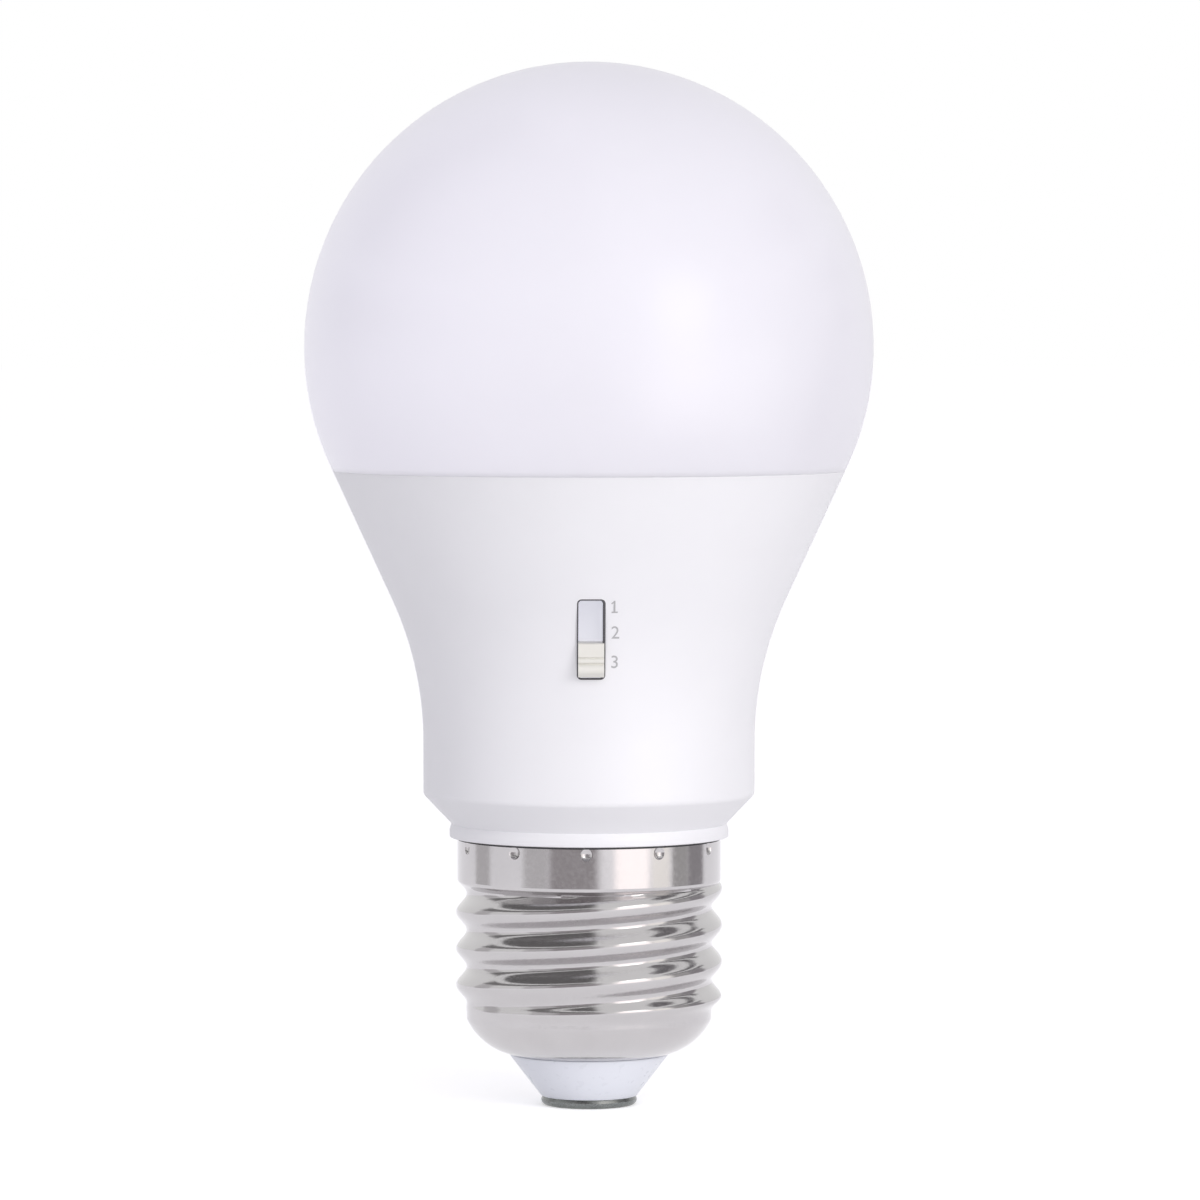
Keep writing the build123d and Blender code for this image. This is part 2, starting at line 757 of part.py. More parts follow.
# Driver board with holes for the leads and terminals
lead_spots = [
    (-inner_column, lower_row - bulk_pitch / 2),
    (-inner_column, lower_row + bulk_pitch / 2),
    (inner_column, lower_row - bulk_pitch / 2),
    (inner_column, lower_row + bulk_pitch / 2),
    (film_column, film_row - film_pitch / 2),
    (film_column, film_row + film_pitch / 2),
    (output_column, output_row - output_pitch / 2),
    (output_column, output_row + output_pitch / 2),
    (-edge_column, lower_row - fuse_pitch / 2),
    (-edge_column, lower_row + fuse_pitch / 2),
]
with BuildPart() as driver_board:
    with BuildSketch(Plane.XZ.offset(-board_back)):
        with Locations((0, board_middle)):
            Rectangle(2 * board_half, board_top - board_bottom)
        with Locations(*lead_spots):
            Circle(lead_radius + lead_room, mode=Mode.SUBTRACT)
        with Locations((0, slot_middle)):
            with GridLocations(1, step_travel, 1, terminal_count):
                Rectangle(terminal_width + lead_room, terminal_thickness + lead_room, mode=Mode.SUBTRACT)
    extrude(amount=board_thickness)
    chamfer(driver_board.edges().filter_by(Axis.Y).group_by(SortBy.DISTANCE)[-1], edge_break)
driver_board.part.label = "driver_board"
export_step(driver_board.part, "parts/driver_board.step")

# Bulk capacitor: a can lying out from the board
with BuildPart(board_spot(-inner_column, lower_row)) as bulk_capacitor:
    Cylinder(bulk_radius, bulk_length, align=(Align.CENTER, Align.CENTER, Align.MIN))
    chamfer(bulk_capacitor.edges().filter_by(GeomType.CIRCLE), edge_break * 2)
    with Locations((0, bulk_pitch / 2, -lead_drop), (0, -bulk_pitch / 2, -lead_drop)):
        Cylinder(lead_radius, lead_drop + row_gap, align=(Align.CENTER, Align.CENTER, Align.MIN))
bulk_capacitor.part.label = "bulk_capacitor"
export_step(bulk_capacitor.part, "parts/bulk_capacitor.step")

# Drum inductor: a winding between two flanges
with BuildPart(board_spot(inner_column, lower_row)) as inductor:
    Cylinder(coil_radius, coil_flange, align=(Align.CENTER, Align.CENTER, Align.MIN))
    Cylinder(coil_waist, coil_length, align=(Align.CENTER, Align.CENTER, Align.MIN))
    with Locations((0, 0, coil_length - coil_flange)):
        Cylinder(coil_radius, coil_flange, align=(Align.CENTER, Align.CENTER, Align.MIN))
    with Locations((0, bulk_pitch / 2, -lead_drop), (0, -bulk_pitch / 2, -lead_drop)):
        Cylinder(lead_radius, lead_drop + row_gap, align=(Align.CENTER, Align.CENTER, Align.MIN))
inductor.part.label = "inductor"
export_step(inductor.part, "parts/inductor.step")

# Film capacitor: a moulded box
with BuildPart(board_spot(film_column, film_row)) as film_capacitor:
    Box(film_width, film_height, film_depth, align=(Align.CENTER, Align.CENTER, Align.MIN))
    chamfer(film_capacitor.edges(), edge_break * 2)
    with Locations((0, film_pitch / 2, -lead_drop), (0, -film_pitch / 2, -lead_drop)):
        Cylinder(lead_radius, lead_drop + row_gap, align=(Align.CENTER, Align.CENTER, Align.MIN))
film_capacitor.part.label = "film_capacitor"
export_step(film_capacitor.part, "parts/film_capacitor.step")

# Output capacitor: a smaller can
with BuildPart(board_spot(output_column, output_row)) as output_capacitor:
    Cylinder(output_radius, output_length, align=(Align.CENTER, Align.CENTER, Align.MIN))
    chamfer(output_capacitor.edges().filter_by(GeomType.CIRCLE), edge_break * 2)
    with Locations((0, output_pitch / 2, -lead_drop), (0, -output_pitch / 2, -lead_drop)):
        Cylinder(lead_radius, lead_drop + row_gap, align=(Align.CENTER, Align.CENTER, Align.MIN))
output_capacitor.part.label = "output_capacitor"
export_step(output_capacitor.part, "parts/output_capacitor.step")

# Bridge rectifier and driver chip: moulded bodies on rows of flat legs
with BuildPart(board_spot(-inner_column, bridge_row)) as bridge_rectifier:
    with Locations((0, 0, leg_sheet)):
        Box(bridge_width, bridge_height, bridge_depth, align=(Align.CENTER, Align.CENTER, Align.MIN))
    with GridLocations(bridge_width + leg_length, bridge_height / 2, 2, 2):
        Box(2 * leg_length, leg_width, 2 * leg_sheet, align=(Align.CENTER, Align.CENTER, Align.MIN))
bridge_rectifier.part.label = "bridge_rectifier"
export_step(bridge_rectifier.part, "parts/bridge_rectifier.step")

with BuildPart(board_spot(-inner_column, chip_row)) as driver_chip:
    with Locations((0, 0, leg_sheet)):
        Box(chip_height, chip_width, chip_depth, align=(Align.CENTER, Align.CENTER, Align.MIN))
    with GridLocations(chip_height / chip_leg_count, chip_width, chip_leg_count, 2):
        Box(leg_width, 2 * leg_length, 2 * leg_sheet, align=(Align.CENTER, Align.CENTER, Align.MIN))
driver_chip.part.label = "driver_chip"
export_step(driver_chip.part, "parts/driver_chip.step")

# Fuse resistor on the board's front: a barrel whose leads bend back through the board
fuse_axis = fuse_radius + part_room
with BuildPart() as fuse_resistor:
    with BuildSketch(Plane.XY.offset(lower_row - fuse_length / 2)):
        with Locations((-edge_column, board_front - fuse_axis)):
            Circle(fuse_radius)
    extrude(amount=fuse_length)
    chamfer(fuse_resistor.edges(), edge_break)
    with BuildSketch(Plane.XY.offset(lower_row - fuse_pitch / 2 - lead_radius)):
        with Locations((-edge_column, board_front - fuse_axis)):
            Circle(lead_radius)
    extrude(amount=fuse_pitch + 2 * lead_radius)
    with BuildSketch(Plane.XZ.offset(-board_back - lead_tail)):
        with Locations((-edge_column, lower_row)):
            with GridLocations(1, fuse_pitch, 1, 2):
                Circle(lead_radius)
    extrude(amount=lead_drop + fuse_axis)
fuse_resistor.part.label = "fuse_resistor"
export_step(fuse_resistor.part, "parts/fuse_resistor.step")

# Chip resistors in two columns on the board's front
with BuildPart() as chip_resistors:
    with BuildSketch(Plane.XZ.offset(-board_front)):
        with Locations((0, resistor_row)):
            with GridLocations(2 * resistor_column, resistor_spacing, 2, resistor_rows):
                Rectangle(resistor_width, resistor_length)
    extrude(amount=resistor_depth)
chip_resistors.part.label = "chip_resistors"
export_step(chip_resistors.part, "parts/chip_resistors.step")

# Hook-up wires on straight runs joined by tangent arcs, up to pads at the foot of the board's front
pad_place = board_front - wire_radius - seat
pad_top = board_bottom + stop_height
wire_bend = floor_bottom + wire_radius + row_gap
contact_grip = contact_height + shank_solid + 2 * wire_radius
shank_top = contact_height + shank_height
clamp_place = -math.sqrt((thread_root - sheet - seat) ** 2 - (wire_offset + wire_radius) ** 2)
live_route = [
    (0, 0, contact_grip),
    (0, 0, shank_top + 4 * wire_radius),
    (-live_share * wire_offset, live_share * pad_place, (shank_top + wire_bend) / 2 + 4 * wire_radius),
    (-wire_offset, pad_place, wire_bend),
    (-wire_offset, pad_place, pad_top),
]
neutral_route = [
    (wire_offset, clamp_place, spigot_bottom + neutral_start),
    (wire_offset, neutral_entry_share * clamp_place, spigot_bottom + neutral_entry),
    (wire_offset, neutral_climb_share * clamp_place, spigot_bottom + neutral_climb),
    (wire_offset, pad_place, wire_bend),
    (wire_offset, pad_place, pad_top),
]


def bend_radii(route):
    """Radius at each inner corner, whose tangent points lie half of the shorter run away, less half a wire."""
    radii = []
    for start, corner, end in zip(route, route[1:], route[2:]):
        before = Vector(*corner) - Vector(*start)
        after = Vector(*end) - Vector(*corner)
        half_turn = math.radians(before.get_angle(after)) / 2
        tangent_length = (min(before.length, after.length) - wire_radius) / 2
        radii.append(tangent_length / math.tan(half_turn))
    return radii


for wire_name, route in (("live_wire", live_route), ("neutral_wire", neutral_route)):
    radii = bend_radii(route)
    with BuildPart() as hook_up_wire:
        with BuildLine() as run:
            FilletPolyline(*route, radius=radii)
        with BuildSketch(Plane(origin=run.line @ 0, z_dir=run.line % 0)):
            Circle(wire_radius)
        sweep()
    swept = math.pi * wire_radius**2 * run.wires()[0].length
    print(wire_name, "bend radii", [round(radius, 1) for radius in radii])
    print(wire_name, "volume over swept volume", hook_up_wire.part.volume / swept)
    hook_up_wire.part.label = wire_name
    export_step(hook_up_wire.part, f"parts/{wire_name}.step")
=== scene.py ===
import bpy
import json
import math
from mathutils import Matrix, Vector


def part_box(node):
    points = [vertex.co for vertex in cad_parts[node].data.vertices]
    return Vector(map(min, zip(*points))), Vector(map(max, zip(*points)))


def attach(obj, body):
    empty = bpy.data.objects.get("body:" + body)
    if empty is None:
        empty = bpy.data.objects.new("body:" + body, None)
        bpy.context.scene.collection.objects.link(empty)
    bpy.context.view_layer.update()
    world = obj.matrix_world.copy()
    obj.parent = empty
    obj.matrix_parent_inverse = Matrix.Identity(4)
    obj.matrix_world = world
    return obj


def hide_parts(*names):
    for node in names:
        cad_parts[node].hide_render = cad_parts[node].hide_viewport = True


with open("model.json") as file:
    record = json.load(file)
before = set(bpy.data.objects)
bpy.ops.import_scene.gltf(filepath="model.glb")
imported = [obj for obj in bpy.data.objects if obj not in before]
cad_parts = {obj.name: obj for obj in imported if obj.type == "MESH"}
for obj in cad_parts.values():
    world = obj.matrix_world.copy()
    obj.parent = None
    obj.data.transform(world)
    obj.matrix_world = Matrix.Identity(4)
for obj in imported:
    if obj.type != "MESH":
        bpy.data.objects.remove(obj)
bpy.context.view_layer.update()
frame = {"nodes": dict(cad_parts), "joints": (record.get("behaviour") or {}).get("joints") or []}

# A globe bulb with a three-way slide switch in its flared housing and an E27 screw cap. The lamp
# axis is Z, the bulb stands on its centre contact, and the switch faces -Y. Forms are given in
# millimetres and drawn in metres, where the CAD nodes that they replace are.
mm = 0.001
up = Vector((0, 0, 1))
outwards = Vector((1, 0, 0))
forwards = Vector((0, -1, 0))

# Heights and places taken from the frame
globe_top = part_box("diffuser")[1].z / mm
rebate_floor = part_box("diffuser")[0].z / mm
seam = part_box("housing")[1].z / mm
spigot_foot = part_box("housing")[0].z / mm
shell_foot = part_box("screw_shell")[0].z / mm
shell_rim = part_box("screw_shell")[1].z / mm
knob_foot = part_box("switch_knob")[0].z / mm
knob_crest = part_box("switch_knob")[1].z / mm
knob_back = -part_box("switch_knob")[1].y / mm
knob_reach = -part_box("switch_knob")[0].y / mm
shutter_face = -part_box("dust_shutter")[0].y / mm
slide = frame["joints"][0]["range_m"][1] / mm
slot_middle = (knob_foot + knob_crest) / 2 + slide / 2
insulator_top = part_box("cap_insulator")[1].z / mm
flange_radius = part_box("cap_insulator")[1].x / mm
shank_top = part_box("centre_contact")[1].z / mm

# Globe
globe_radius = 28.1
globe_wall = 1.3
globe_ledge = 1.2
edge_break = 0.035
seat = 0.1

# Housing
wall = 1.5
lip_wall = 0.9
collar_radius = 13.62
bead_swell = 0.2
bead_foot_radius = 13.25
bead_height = 1.33
bead_edge = 0.08
bead_rise = 0.5
joint_gap = 0.25
joint_clearance = 0.01
joint_sink = 0.08
neck_radius = 16.4
neck_rounding = 0.8
neck_bottom = 30.93
neck_top = 36.13
neck_rows = 6
flare_bend = 0.7554
flare_rows = 24
spigot_radius = 11.65
spigot_bore = 10.55
spigot_shoulder_radius = 12.65
boss_margin = 1.2
boss_clearance = 0.12
slot_width = 2.75
slot_height = 7.9
slot_corner = 0.45
slot_start = 30
slot_past_shutter = 0.5
rim_width = 0.14
# Painted shadow of the slot's right wall: the dark rim is made wider on its inner right side
painted_shadow_right = 0.13
painted_shadow_start = 0.4
rim_sink = 0.03
rim_depth = 0.8

# Screw shell
sheet = 0.35
thread_pitch = 3.629
thread_crest = 13.2
thread_root = 12.15
skirt_radius = 13.05
thread_top = 21.63
crest_sharpness = 0.92
fade_bottom = 9.2
fade_top = 11.0
shoulder_height = 0.8
plain_band = 0.3
cone_reach = 4.05
cone_top = 8.6
cone_bulge = 0.6
cone_rows = 8
thread_row_height = 0.16
skirt_rows = 8
dent_count = 11
dent_start = -91.75
dent_drop = 0.5
dent_reach = 0.8
dent_half_width = 0.8
dent_half_height = 0.85
dent_depth = 0.3
thread_lag = 0.08
thread_tilt = 0.26

# Cap insulator and centre contact
contact_radius = 4.75
contact_height = 0.9
contact_rounding = 0.55
contact_edge = 0.12
shank_radius = 1.6
shank_bore = 0.6
bore_floor = 2.9
hub_radius = 2.9
insulator_edge = 0.15
insulator_rounding = 0.25
insulator_lip = 0.28
insulator_lip_height = 0.2
insulator_lip_step = 0.03
insulator_gap = 0.1
flange_thickness = 1.2

# Knob
ridge_height = 0.95
ridge_crown = 0.3
groove = 0.16
groove_depth = 0.14
groove_flank = 0.3
rib_height = 0.42
rib_crown = 0.1
foot_round = 0.25
crest_round = 0.2
knob_play = 0.24
knob_softening = 0.06

# Position numbers, right of the slot
number_size = 1.75
number_start = 1.95
number_ink = 0.02
number_heights = [slot_middle + 3.2, slot_middle + 0.69, slot_middle - 2.2]
stroke_width = 0.13
flag_reach = 0.3
flag_lift = 0.06

# How finely round forms are divided
round_steps = 192
shell_steps = 384


def smooth_step(value, low, high):
    share = min(max((value - low) / (high - low), 0.0), 1.0)
    return share * share * (3 - 2 * share)


def deselect():
    bpy.ops.object.select_all(action="DESELECT")


def make_active(piece):
    deselect()
    piece.select_set(True)
    bpy.context.view_layer.objects.active = piece


class Outline:
    """An outline drawn point by point from one vertex, in the plane of the lamp axis and a direction."""

    def __init__(self, name, across, height, direction=outwards):
        deselect()
        bpy.ops.mesh.primitive_plane_add(size=mm)
        self.piece = bpy.context.active_object
        self.piece.name = self.piece.data.name = name
        self.direction = direction
        self.across, self.height = across, height
        bpy.ops.object.mode_set(mode="EDIT")
        bpy.ops.mesh.select_mode(type="VERT")
        bpy.ops.mesh.select_all(action="SELECT")
        bpy.ops.mesh.merge(type="CENTER")
        bpy.ops.transform.translate(value=self.spot(across, height))

    def spot(self, across, height):
        return (self.direction * across + up * height) * mm

    def line(self, *points):
        for across, height in points:
            move = self.spot(across, height) - self.spot(self.across, self.height)
            bpy.ops.mesh.extrude_vertices_move(TRANSFORM_OT_translate={"value": move})
            self.across, self.height = across, height

    def arc(self, centre, degrees, steps):
        """Turn about a centre, anticlockwise where degrees is positive."""
        axis = up.cross(self.direction)
        angle = math.radians(degrees)
        bpy.ops.mesh.spin(steps=steps, angle=angle, center=self.spot(*centre), axis=axis)
        reach, rise = self.across - centre[0], self.height - centre[1]
        self.across = centre[0] + reach * math.cos(angle) - rise * math.sin(angle)
        self.height = centre[1] + reach * math.sin(angle) + rise * math.cos(angle)

    def turned(self, steps, smooth_angle=35):
        """Turn the outline all the way round the lamp axis into a closed form."""
        bpy.ops.object.mode_set(mode="OBJECT")
        make_active(self.piece)
        turn = self.piece.modifiers.new("turn", "SCREW")
        turn.angle = 2 * math.pi
        turn.steps = turn.render_steps = steps
        turn.use_merge_vertices = True
        turn.merge_threshold = mm * 0.001
        bpy.ops.object.modifier_apply(modifier=turn.name)
        bpy.ops.object.mode_set(mode="EDIT")
        return self.closed(smooth_angle)

    def extruded(self, thickness, smooth_angle=35):
        """Fill the outline and give it a thickness, half to each side."""
        side = up.cross(self.direction) * mm
        bpy.ops.mesh.select_all(action="SELECT")
        bpy.ops.mesh.remove_doubles(threshold=mm * 0.001)
        bpy.ops.mesh.edge_face_add()
        bpy.ops.transform.translate(value=side * (-thickness / 2))
        bpy.ops.mesh.extrude_region_move(TRANSFORM_OT_translate={"value": side * thickness})
        return self.closed(smooth_angle)

    def closed(self, smooth_angle):
        bpy.ops.mesh.select_all(action="SELECT")
        bpy.ops.mesh.remove_doubles(threshold=mm * 0.001)
        bpy.ops.mesh.normals_make_consistent(inside=False)
        bpy.ops.object.mode_set(mode="OBJECT")
        make_active(self.piece)
        bpy.ops.object.shade_smooth_by_angle(angle=math.radians(smooth_angle))
        return self.piece


def combine(piece, tool, operation):
    """Join a tool's form to a piece or cut it out of the piece, and remove the tool."""
    make_active(piece)
    change = piece.modifiers.new(operation, "BOOLEAN")
    change.operation = operation
    change.object = tool
    change.solver = "EXACT"
    bpy.ops.object.modifier_apply(modifier=change.name)
    bpy.data.objects.remove(tool)


def block(low, high):
    """A box between two corners, in millimetres."""
    deselect()
    bpy.ops.mesh.primitive_cube_add(size=1)
    box = bpy.context.active_object
    for vertex in box.data.vertices:
        vertex.co = [(high[i] if vertex.co[i] > 0 else low[i]) * mm for i in range(3)]
    return box


# Flare of the housing, as in the CAD: an arc off the neck, then a cone up to the seam
globe_centre = globe_top - globe_radius
seam_radius = math.sqrt(globe_radius**2 - (globe_centre - seam) ** 2)
flare_height = seam - neck_top
flare_slope = (seam_radius - neck_radius) / flare_height
flare = 2 * math.atan(flare_slope / (1 + math.sqrt((1 - flare_bend) * (1 + flare_slope**2))))
blend_radius = flare_bend * flare_height * (1 + flare_slope**2) / (2 * flare_slope)


def flare_radius(height, inset=0.0):
    """Radius at a height of the housing's outer surface moved inwards by inset."""
    if height <= neck_top:
        return neck_radius - inset
    if height <= neck_top + (blend_radius + inset) * math.sin(flare):
        rise = height - neck_top
        return neck_radius + blend_radius - math.sqrt((blend_radius + inset) ** 2 - rise**2)
    return seam_radius - (seam - height) * math.tan(flare) - inset / math.cos(flare)


rebate_radius = flare_radius(rebate_floor, lip_wall)
bead_foot = shell_rim + joint_gap


def make_globe():
    """Outside from the pole down to the seam, then the skirt, the ledge and the inside."""
    cut = math.degrees(math.asin((globe_centre - seam) / globe_radius))
    chamfer_turn = math.degrees(edge_break / globe_radius)
    skirt_outer = rebate_radius - seat
    skirt_inner = skirt_outer - globe_wall
    inner_globe = globe_radius - globe_wall
    ledge_drop = globe_centre - seam - globe_ledge
    outline = Outline("globe", 0, globe_top)
    outline.arc((0, globe_centre), -90 - cut + chamfer_turn, 96)
    outline.line(
        (seam_radius - edge_break, seam),
        (skirt_outer, seam),
        (skirt_outer, rebate_floor),
        (skirt_inner, rebate_floor),
        (skirt_inner, seam + globe_ledge),
        (math.sqrt(inner_globe**2 - ledge_drop**2), seam + globe_ledge),
    )
    outline.arc((0, globe_centre), 90 + math.degrees(math.asin(ledge_drop / inner_globe)), 72)
    return outline.turned(round_steps)


def make_housing():
    """Bead, collar, neck and flare outside, then the rebate, the hollow and the spigot."""
    bead_top = bead_foot + bead_height
    collar_angle = math.atan2(neck_bottom - bead_top, neck_radius - collar_radius)
    neck_turn = math.pi / 2 - collar_angle
    tangent = neck_rounding * math.tan(neck_turn / 2)
    floor_lift = wall * (1 / math.cos(collar_angle) - math.tan(collar_angle))
    floor_slope = math.tan(collar_angle)
    floor_top = neck_bottom + floor_lift
    floor_foot = floor_top - (neck_radius - wall - spigot_bore) * floor_slope
    bead_shoulder = bead_height - bead_rise
    bead_radius = (bead_shoulder**2 + bead_swell**2) / (2 * bead_swell)
    bead_turn = math.degrees(math.asin(bead_shoulder / bead_radius))
    lip_radius = collar_radius + bead_swell
    outline = Outline("housing_shell", bead_foot_radius, bead_foot)
    outline.line(
        (lip_radius - bead_edge, bead_foot),
        (lip_radius, bead_foot + bead_edge),
        (lip_radius, bead_foot + bead_rise),
    )
    outline.arc((lip_radius - bead_radius, bead_foot + bead_rise), bead_turn, 10)
    outline.line(
        (neck_radius - tangent * math.cos(collar_angle), neck_bottom - tangent * math.sin(collar_angle))
    )
    outline.arc((neck_radius - neck_rounding, neck_bottom + tangent), math.degrees(neck_turn), 8)
    neck_rise = neck_top - neck_bottom - tangent
    for row in range(1, neck_rows + 1):
        outline.line((neck_radius, neck_bottom + tangent + neck_rise * row / neck_rows))
    outline.arc((neck_radius + blend_radius, neck_top), -math.degrees(flare), 30)
    cone_foot = outline.height
    chamfer_foot = seam - edge_break
    for row in range(1, flare_rows + 1):
        height = cone_foot + (chamfer_foot - cone_foot) * row / flare_rows
        outline.line((flare_radius(height), height))
    outline.line(
        (seam_radius - edge_break, seam),
        (rebate_radius, seam),
        (rebate_radius, rebate_floor),
        (flare_radius(rebate_floor, wall), rebate_floor),
    )
    inner_cone_foot = neck_top + (blend_radius + wall) * math.sin(flare)
    outline.line((flare_radius(inner_cone_foot, wall), inner_cone_foot))
    outline.arc((neck_radius + blend_radius, neck_top), math.degrees(flare), 24)
    outline.line(
        (neck_radius - wall, floor_top),
        (spigot_bore, floor_foot),
        (spigot_bore, spigot_foot),
        (spigot_radius, spigot_foot),
        (spigot_radius, thread_top + shoulder_height),
        (spigot_shoulder_radius, thread_top + shoulder_height),
        (spigot_shoulder_radius, bead_foot),
        (bead_foot_radius, bead_foot),
    )
    return outline.turned(round_steps)


def make_joint_shade_ring():
    """Dark ring between the shell's rim and the bead: painted shade that stands in for the shadow in the
    joint's gap.
    """
    inner = spigot_shoulder_radius + joint_clearance
    outer = skirt_radius - joint_sink
    low = shell_rim + joint_clearance
    high = bead_foot - joint_clearance
    outline = Outline("joint_shade_ring", inner, low)
    outline.line((outer, low), (outer, high), (inner, high), (inner, low))
    return outline.turned(round_steps)


def cut_slot(housing):
    """A boss inside the housing's wall, and the slot through both."""
    low = slot_middle - slot_height / 2
    high = slot_middle + slot_height / 2
    boss_face = shutter_face + boss_clearance
    half = slot_width / 2 + boss_margin
    boss = block((-half, -neck_radius, low - boss_margin), (half, -boss_face, high + boss_margin))
    for vertex in boss.data.vertices:
        if vertex.co.y < -boss_face * mm - mm * 0.01:
            vertex.co.y = -flare_radius(vertex.co.z / mm, wall / 2) * mm
    combine(housing, boss, "UNION")
    slot_end = -shutter_face + slot_past_shutter
    slot = block((-slot_width / 2, -slot_start, low), (slot_width / 2, slot_end, high))
    make_active(slot)
    bpy.ops.object.mode_set(mode="EDIT")
    bpy.ops.mesh.select_all(action="DESELECT")
    bpy.ops.object.mode_set(mode="OBJECT")
    for edge in slot.data.edges:
        ends = [slot.data.vertices[i].co for i in edge.vertices]
        edge.select = abs((ends[0] - ends[1]).normalized().y) > 0.99
    bpy.ops.object.mode_set(mode="EDIT")
    bpy.ops.mesh.select_mode(type="EDGE")
    bpy.ops.mesh.bevel(offset=slot_corner * mm, segments=8, affect="EDGES")
    bpy.ops.object.mode_set(mode="OBJECT")
    combine(housing, slot, "DIFFERENCE")
    make_active(housing)
    bpy.ops.object.shade_smooth_by_angle(angle=math.radians(35))


def make_slot_shade_rim():
    """Dark grey rim that lines the slot at the surface: painted shade round the slot's edge, made wider on
    the right as a painted shadow of the slot's right wall.
    """
    deselect()
    bpy.ops.mesh.primitive_plane_add(size=1)
    slot_shade_rim = bpy.context.active_object
    slot_shade_rim.name = slot_shade_rim.data.name = "slot_shade_rim"
    bpy.ops.object.mode_set(mode="EDIT")
    bpy.ops.mesh.select_mode(type="VERT")
    bpy.ops.mesh.select_all(action="SELECT")
    bpy.ops.transform.resize(value=(slot_width * mm, slot_height * mm, 1))
    bpy.ops.mesh.bevel(offset=slot_corner * mm, segments=8, affect="VERTICES")
    bpy.ops.mesh.select_mode(type="FACE")
    bpy.ops.mesh.select_all(action="SELECT")
    bpy.ops.mesh.inset(thickness=rim_width * mm)
    bpy.ops.mesh.delete(type="FACE")
    bpy.ops.mesh.select_all(action="SELECT")
    bpy.ops.mesh.extrude_region_move(TRANSFORM_OT_translate={"value": (0, 0, mm)})
    bpy.ops.object.mode_set(mode="OBJECT")
    for vertex in slot_shade_rim.data.vertices:
        across, rise = vertex.co.x / mm, vertex.co.y / mm + slot_middle
        past_side = max(abs(across) - (slot_width / 2 - slot_corner), 0)
        past_end = max(abs(rise - slot_middle) - (slot_height / 2 - slot_corner), 0)
        if math.hypot(past_side, past_end) < slot_corner - rim_width / 2 and across > 0:
            across -= painted_shadow_right * smooth_step(across, painted_shadow_start, slot_width / 2 - rim_width)
        sink = rim_sink if vertex.co.z < mm / 2 else rim_sink + rim_depth
        vertex.co = Vector((across, sink - math.sqrt(flare_radius(rise) ** 2 - across**2), rise)) * mm
    bpy.ops.object.mode_set(mode="EDIT")
    bpy.ops.mesh.select_all(action="SELECT")
    bpy.ops.mesh.subdivide(number_cuts=3)
    bpy.ops.mesh.normals_make_consistent(inside=False)
    bpy.ops.object.mode_set(mode="OBJECT")
    return slot_shade_rim


def shell_radius(angle, height):
    """Outer radius of the rolled shell: the thread, faded at its foot, and the skirt's shoulder."""
    drop = thread_lag + thread_tilt * (1 - math.cos(angle))
    turns = (height - thread_top + drop) / thread_pitch - angle / (2 * math.pi)
    crest = ((1 + math.cos(2 * math.pi * turns)) / 2) ** crest_sharpness
    fade = smooth_step(height, fade_bottom, fade_top)
    fade *= 1 - smooth_step(height, thread_top + 0.2, thread_top + 1.3)
    thread = (thread_crest - thread_root) * crest * fade
    skirt = (skirt_radius - thread_root) * smooth_step(height, thread_top - 0.1, thread_top + shoulder_height)
    return thread_root + (thread**5 + skirt**5) ** 0.2


def make_shell():
    """A plain turned sheet, its rows close together where the thread is rolled in."""
    cone_angle = math.atan2(cone_top - shell_foot, cone_reach)
    cone_chord = math.hypot(cone_top - shell_foot, cone_reach)
    cone_bend = ((cone_chord / 2) ** 2 + cone_bulge**2) / (2 * cone_bulge)
    cone_turn = math.asin(cone_chord / 2 / cone_bend)
    bend_across = thread_root - cone_bend * math.sin(cone_angle + cone_turn)
    bend_height = cone_top + cone_bend * math.cos(cone_angle + cone_turn)
    last_row = thread_top + shoulder_height + plain_band
    shell_outline = []
    for inset, direction in [(0.0, 1), (sheet, -1)]:
        points = []
        for row in range(-cone_rows, cone_rows + 1):
            turn = cone_angle + cone_turn * (row / cone_rows)
            across = bend_across + (cone_bend - inset) * math.sin(turn)
            points.append((across, bend_height - (cone_bend - inset) * math.cos(turn)))
        first_row = points[-1][1]
        row_count = round((last_row - first_row) / thread_row_height)
        for row in range(1, row_count + 1):
            points.append((thread_root - inset, first_row + (last_row - first_row) * row / row_count))
        for row in range(1, skirt_rows + 1):
            points.append((skirt_radius - inset, last_row + (shell_rim - last_row) * row / skirt_rows))
        shell_outline += points[::direction]
    outline = Outline("screw_cap", *shell_outline[0])
    outline.line(*shell_outline[1:], shell_outline[0])
    shell = outline.turned(shell_steps, smooth_angle=50)
    for vertex in shell.data.vertices:
        radius = math.hypot(vertex.co.x, vertex.co.y) / mm
        height = vertex.co.z / mm
        if not cone_top <= height <= last_row + 0.01:
            continue
        plain = skirt_radius if radius > thread_root + 0.01 else thread_root
        inset = sheet if radius < plain - sheet / 2 else 0
        if radius > thread_root - inset - 0.05:
            rolled = shell_radius(math.atan2(vertex.co.y, vertex.co.x), height) - inset
            vertex.co.x *= rolled / radius
            vertex.co.y *= rolled / radius
    return shell


def punch_dents(shell):
    """Punched dents below the shell's rim."""
    deselect()
    dents = []
    for index in range(dent_count):
        angle = math.radians(dent_start + index * 360 / dent_count)
        reach = skirt_radius + dent_reach - dent_depth
        middle = Vector((reach * math.cos(angle), reach * math.sin(angle), shell_rim - dent_drop)) * mm
        bpy.ops.mesh.primitive_uv_sphere_add(
            segments=32,
            ring_count=20,
            radius=mm,
            scale=(dent_reach, dent_half_width, dent_half_height),
            location=middle,
            rotation=(0, 0, angle),
        )
        dents.append(bpy.context.active_object)
    for dent in dents:
        dent.select_set(True)
    bpy.ops.object.join()
    combine(shell, bpy.context.active_object, "DIFFERENCE")
    make_active(shell)
    bpy.ops.object.shade_smooth_by_angle(angle=math.radians(40))


